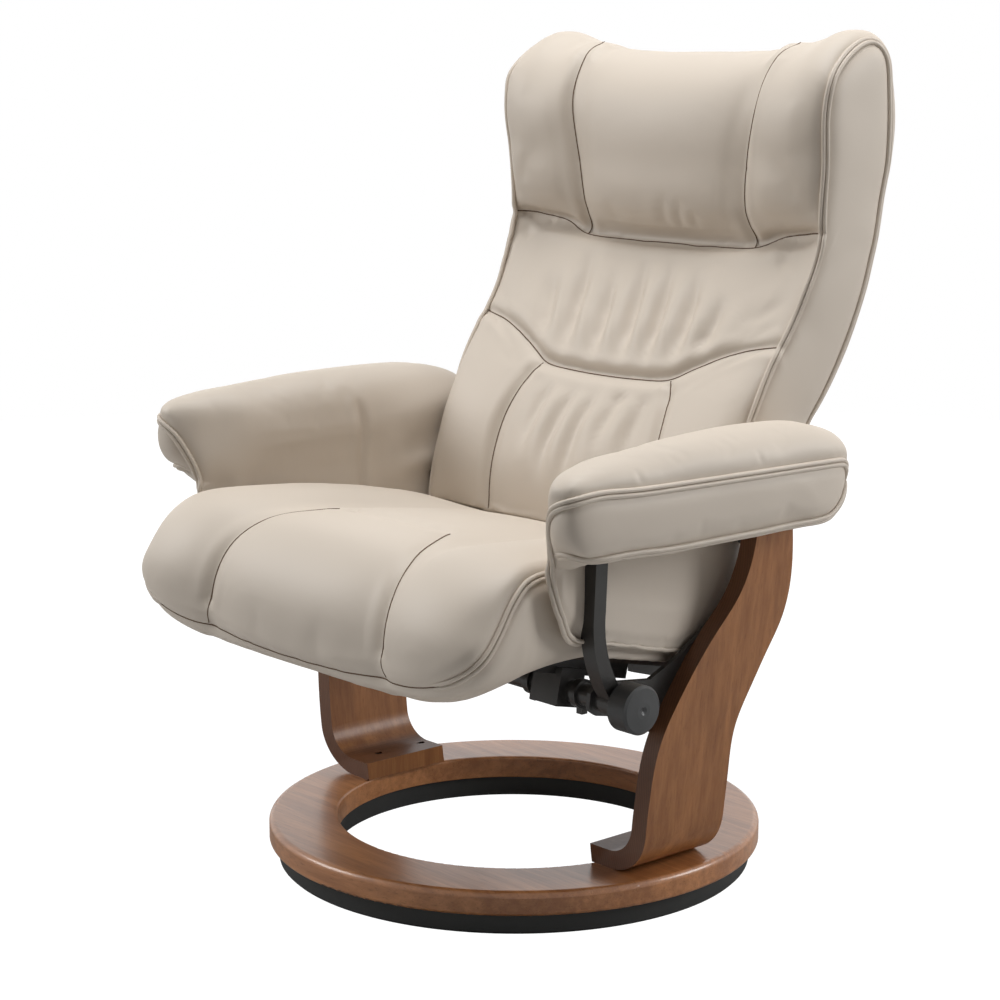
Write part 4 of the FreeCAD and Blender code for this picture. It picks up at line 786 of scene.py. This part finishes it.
class RECLINER_OT_seat(bpy.types.Operator, CoverMaker):
    """Makes the seat's cover with its channels, rim seam and folds"""
    bl_idname = "recliner.seat"
    bl_label = "Seat Cover"

    def execute(self, context):
        sources = ("seat_cushion", "seat_apron")
        piece = self.start(context, "seat_cover", sources)
        self.level_top(piece)
        cover = self.refined(piece)
        channels = [cover.lay(turn(SEAT_CHANNEL)) for turn in (list, mirrored)]
        cross = cover.lay(SEAT_CROSS)
        rim = cover.lay(SEAT_RIM + mirrored(SEAT_RIM)[-2::-1])
        sides = [cover.lay(turn(SEAT_RIM[:10])) for turn in (list, mirrored)]
        front = SEAT_RIM[8:]
        front = cover.lay(front + mirrored(front)[-2::-1])
        settings = context.scene.recliner_leather
        for line in channels:
            line.shorten(0.018, 1.0)
            cover.press(line, settings.seam_width, settings.seam_depth,
                        SWELL_SHARE * settings.seam_depth, line.fade(0.07, 0.9) ** 4, painted_shade=True)
        cover.press(cross, 0.011, 0.003, 0.001, cross.fade(0.1, 0.1))
        cover.press(rim, 0.008, 0.0025, 0.0012, painted_shade=True)
        for line in sides:
            cover.press(line, 0.012, 0.002, 0.0, line.fade(0.02, 0.3), painted_shade=True)
        press_folds(cover, SEAT_FOLDS, 0.3, 0.6)
        cover.wander(9.0, 0.0012)
        cover.finish()
        tree = Cover(piece).tree
        for line in channels:
            line.shorten(0.0, 0.5)
        self.slits(context, "seat_seams", tree, channels + [front], "seat")
        self.welts(context, "seat_welts", tree, sides, "seat", sink=0.12)
        self.done(piece, "seat", 0.75, sources)
        return {"FINISHED"}

    def level_top(self, piece):
        """Smooths the solid's own channels away, since the cover's lie elsewhere."""
        points = vectors(piece.data, "co")
        normals = vectors(piece.data, "normal")
        middle = between(points[:, 0], -0.215, 0.215, 0.04)
        top = (between(points[:, 1], -0.27, 0.3, 0.05) * between(normals[:, 2], 0.5, 2.0, 0.3))
        front = (between(points[:, 2], 0.375, 0.46, 0.03)
                 * between(-normals[:, 1], 0.5, 2.0, 0.3))
        relaxed(piece, middle * np.maximum(top, front), 70)
        wide = between(np.abs(points[:, 0]), 0.25, 0.5, 0.05)
        relaxed(piece, wide * between(points[:, 1], -0.5, -0.2, 0.05), 45)
        points = vectors(piece.data, "co")
        points[:, 0] *= 1 + 0.012 * wide * between(points[:, 1], -0.5, -0.29, 0.03)
        lip = (between(np.abs(points[:, 0]), -1.0, 0.2, 0.12)
               * between(points[:, 1], -0.5, -0.3, 0.05) * between(points[:, 2], 0.0, 0.35, 0.05))
        points[:, 2] -= 0.006 * lip
        set_points(piece.data, points)


class RECLINER_OT_arms(bpy.types.Operator, CoverMaker):
    """Makes the covers of both arms with their double welts"""
    bl_idname = "recliner.arms"
    bl_label = "Arm Covers"

    def execute(self, context):
        for side, turn in (("left", list), ("right", mirrored)):
            sources = ("arm_pad_" + side, "arm_panel_" + side)
            piece = self.start(context, "arm_cover_" + side, sources)
            self.shape_front(piece)
            cover = self.refined(piece)
            lines = [cover.lay(turn(points)) for points in (ARM_WELT, ARM_LOWER_WELT)]
            for line in lines:
                cover.press(line, *WELT_BED, strength=line.fade(0, 0.1), painted_shade=True)
            dart = cover.lay(turn(ARM_DART))
            cover.press(dart, 0.006, 0.0048, 0.0014, dart.fade(0.4, 0.02), painted_shade=True)
            folds = [(turn(points), *rest) for points, *rest in ARM_FOLDS]
            press_folds(cover, folds, 0.3, 0.5)
            cover.wander(11.0, 0.0012)
            cover.finish()
            tree = Cover(piece).tree
            self.welts(context, "arm_welts_" + side, tree, lines, "base", sink=0.08)
            self.done(piece, "base", 0.8, sources)
        return {"FINISHED"}

    def shape_front(self, piece):
        """Fills the underside of the arm's round front and rounds its inner corner."""
        points = vectors(piece.data, "co")
        side = np.sign(points[:, 0])
        across, along, height = np.abs(points[:, 0]), points[:, 1], points[:, 2]
        front = between(along, -0.5, -0.22, 0.05)
        outer = between(across, 0.352, 0.6, 0.02)
        corner = (between(across, 0.0, 0.335, 0.05) * between(along, -0.5, -0.245, 0.05)
                  * between(height, 0.56, 1.0, 0.05))
        panel = between(along, -0.5, -0.24, 0.03) * between(height, 0.37, 0.49, 0.03)
        tail = (between(across, 0.0, 0.325, 0.02) * between(along, 0.06, 0.5, 0.06)
                * between(height, 0.48, 0.56, 0.03))
        points += np.stack([side * (0.007 * corner + 0.010 * panel - 0.006 * tail),
                            0.013 * corner,
                            -0.012 * front * outer * between(height, 0.0, 0.52, 0.04)], axis=1)
        set_points(piece.data, points)
        relaxed(piece, between(across, 0.0, 0.33, 0.02) * between(along, 0.03, 0.5, 0.04), 14)
        relaxed(piece, front * between(height, 0.505, 0.57, 0.02), 25)


class RECLINER_OT_back(bpy.types.Operator, CoverMaker):
    """Makes the cover of the back and head with its seams and folds"""
    bl_idname = "recliner.back"
    bl_label = "Back and Head Cover"

    def execute(self, context):
        sources = ("back_cushion_lower", "back_cushion_lumbar", "head_cushion", "back_shell")
        piece = self.start(context, "back_cover", sources)
        self.reach_down(piece)
        self.level_front(piece)
        across = np.abs(vectors(piece.data, "co")[:, 0])
        relaxed(piece, between(across, 0.285, 0.5, 0.03), 30)
        cover = self.refined(piece)
        sides = [cover.lay(turn(BACK_WELT)) for turn in (list, mirrored)]
        paths = (BACK_WAIST, BACK_NECK, BACK_LOWER, mirrored(BACK_LOWER), HEAD_CHANNEL,
                 mirrored(HEAD_CHANNEL))
        lines = [cover.lay(points) for points in paths]
        settings = context.scene.recliner_leather
        for line in lines:
            cover.press(line, settings.seam_width, settings.seam_depth,
                        SWELL_SHARE * settings.seam_depth, line.fade(0.04, 0.02), painted_shade=True)
        for line in sides:
            cover.press(line, *WELT_BED, painted_shade=True)
        waist, neck = lines[:2]
        cover.roll(waist, 0.007, 0.026, 0.007)
        cover.roll(neck, 0.011, 0.055, 0.008)
        for turn in (list, mirrored):
            inner = cover.lay(turn([(x - 16, y, z) for x, y, z in HEAD_CHANNEL]))
            cover.press(inner, 0.014, 0.004, 0.0, inner.fade(0.3, 0.2))
        press_folds(cover, LUMBAR_FOLDS, 0.5, 0.36)
        press_folds(cover, LOWER_FOLDS, 0.25, 0.6)
        press_folds(cover, HEAD_FOLDS, 0.5, 0.3)
        cover.wander(9.0, 0.0014)
        cover.finish()
        relaxed(piece, cover.gather, 3)
        tree = Cover(piece).tree
        self.slits(context, "back_seams", tree, lines, "back")
        self.welts(context, "back_welts", tree, sides, "back")
        self.done(piece, "back", 0.7, sources)
        return {"FINISHED"}

    def level_front(self, piece):
        """Smooths the solids' own channels away, since the cover's lie elsewhere."""
        points = vectors(piece.data, "co")
        facing = between(-vectors(piece.data, "normal")[:, 1], 0.3, 2.0, 0.3)
        middle = between(points[:, 0], -0.225, 0.225, 0.03)
        head = between(points[:, 2], 0.845, 1.035, 0.02)
        lower = between(points[:, 2], 0.47, 0.61, 0.02)
        relaxed(piece, facing * middle * np.maximum(head, lower), 60)

    def reach_down(self, piece):
        """Brings the lower edge down behind the seat and out towards the arms."""
        points = vectors(piece.data, "co")
        low = between(points[:, 2], -1.0, 0.444, 0.06)
        points[:, 0] *= 1 + 0.041 * between(points[:, 2], -1.0, 0.49, 0.09)
        behind = np.clip((points[:, 1] - 0.075) / 0.025, 0, 1)
        front = between(points[:, 1], -1.0, 0.165, 0.02)
        recess = 0.010 * front * between(points[:, 0], -0.23, 0.23, 0.04)
        points[:, 1] += recess * np.clip((0.53 - points[:, 2]) / 0.09, 0, 1) ** 1.5
        points[:, 2] -= low * front * (0.007 + 0.03 * behind)
        set_points(piece.data, points)


# Camera, lamps and floor

class RECLINER_OT_stage(bpy.types.Operator):
    """Sets up the camera, the lamps and the pale floor"""
    bl_idname = "recliner.stage"
    bl_label = "Camera and Stage"

    def execute(self, context):
        scene = context.scene
        settings = scene.recliner_stage
        self.camera(scene, settings)
        self.lamp(scene, "key_lamp", (-2.55, -2.15, 2.05), 1.8, settings.key)
        self.lamp(scene, "top_lamp", (0.2, 0.0, 3.6), 2.6, settings.top)
        self.lamp(scene, "fill_lamp", (2.3, 2.4, 1.7), 1.6, settings.fill)
        self.floor(scene)
        self.world(scene, settings)
        scene.view_settings.view_transform = "Standard"
        return {"FINISHED"}

    def camera(self, scene, settings):
        data = bpy.data.cameras.new("camera")
        data.lens = settings.lens
        data.sensor_width = 36.0
        data.shift_x = 0.0035
        camera = bpy.data.objects.new("camera", data)
        camera.location = (2.330, -2.091, 1.0836)
        camera.rotation_euler = (math.radians(79.153), 0.0, math.radians(48.523))
        scene.collection.objects.link(camera)
        scene.camera = camera

    def lamp(self, scene, name, place, size, power):
        data = bpy.data.lights.new(name, "AREA")
        data.shape = "DISK"
        data.size = size
        data.energy = power
        lamp = bpy.data.objects.new(name, data)
        lamp.location = place
        aim = Vector((0.0, 0.0, 0.45)) - Vector(place)
        lamp.rotation_euler = aim.to_track_quat("-Z", "Y").to_euler()
        scene.collection.objects.link(lamp)

    def floor(self, scene):
        made = bmesh.new()
        bmesh.ops.create_circle(made, cap_ends=True, segments=96, radius=4.0)
        mesh = bpy.data.meshes.new("floor")
        made.to_mesh(mesh)
        made.free()
        floor = bpy.data.objects.new("floor", mesh)
        scene.collection.objects.link(floor)
        mesh.materials.append(self.floor_material())

    def floor_material(self):
        """White where nothing shades it, and as white as the backdrop further out."""
        shader = Shader("pale_floor", Roughness=0.9, Specular_IOR_Level=0.1)
        shader.surface.inputs["Base Color"].default_value = (0.6, 0.6, 0.6, 1)
        spot = shader.node("ShaderNodeTexCoord", output="Object")
        reach = shader.node("ShaderNodeVectorMath", {"operation": "LENGTH"}, {0: spot},
                            output="Value")
        ray = shader.node("ShaderNodeLightPath", output="Is Camera Ray")
        white = shader.node("ShaderNodeEmission", {}, {"Color": (1, 1, 1, 1), "Strength": 1.15})
        factor = ray * reach.ramp(0.28, 0.45, 0.94, 0.9) * reach.ramp(0.45, 0.9, 1.0, 1.11)
        mixed = shader.node("ShaderNodeMixShader", {},
                            {0: factor,
                             1: Socket(shader, shader.surface.outputs[0]), 2: white})
        output = shader.tree.nodes["Material Output"]
        shader.tree.links.new(mixed.link, output.inputs["Surface"])
        return shader.material

    def world(self, scene, settings):
        world = bpy.data.worlds.new("studio")
        world.use_nodes = True
        scene.world = world
        tree = world.node_tree
        soft = tree.nodes["Background"]
        soft.inputs["Color"].default_value = (1.0, 0.92, 0.83, 1)
        soft.inputs["Strength"].default_value = settings.ambience
        white = tree.nodes.new("ShaderNodeBackground")
        white.inputs["Color"].default_value = (1, 1, 1, 1)
        white.inputs["Strength"].default_value = 1.0
        path = tree.nodes.new("ShaderNodeLightPath")
        mixed = tree.nodes.new("ShaderNodeMixShader")
        seen = tree.nodes.new("ShaderNodeMath")
        seen.operation = "MAXIMUM"
        tree.links.new(path.outputs["Is Camera Ray"], seen.inputs[0])
        tree.links.new(path.outputs["Is Glossy Ray"], seen.inputs[1])
        tree.links.new(seen.outputs[0], mixed.inputs[0])
        tree.links.new(soft.outputs[0], mixed.inputs[1])
        tree.links.new(white.outputs[0], mixed.inputs[2])
        tree.links.new(mixed.outputs[0], tree.nodes["World Output"].inputs["Surface"])


class RECLINER_PT_panel(bpy.types.Panel):
    """Buttons and sizes of the recliner"""
    bl_label = "Swivel Recliner"
    bl_idname = "RECLINER_PT_panel"
    bl_space_type = "VIEW_3D"
    bl_region_type = "UI"
    bl_category = "Recliner"

    def draw(self, context):
        for operator in OPERATORS:
            self.layout.operator(operator.bl_idname)
        for name, group in SETTINGS:
            column = self.layout.column()
            for size in group.__annotations__:
                column.prop(getattr(context.scene, name), size)


SETTINGS = (("recliner_leather", LeatherSettings), ("recliner_wood", WoodSettings),
            ("recliner_stage", StageSettings))
OPERATORS = (RECLINER_OT_finishes, RECLINER_OT_seat, RECLINER_OT_arms, RECLINER_OT_back,
             RECLINER_OT_stage)


def register():
    for name, group in SETTINGS:
        bpy.utils.register_class(group)
        setattr(bpy.types.Scene, name, PointerProperty(type=group))
    for operator in OPERATORS:
        bpy.utils.register_class(operator)
    bpy.utils.register_class(RECLINER_PT_panel)


def unregister():
    bpy.utils.unregister_class(RECLINER_PT_panel)
    for operator in reversed(OPERATORS):
        bpy.utils.unregister_class(operator)
    for name, group in SETTINGS:
        delattr(bpy.types.Scene, name)
        bpy.utils.unregister_class(group)


def main():
    register()
    bpy.ops.recliner.finishes()
    bpy.ops.recliner.seat()
    bpy.ops.recliner.arms()
    bpy.ops.recliner.back()
    bpy.ops.recliner.stage()


if __name__ == "__main__":
    main()
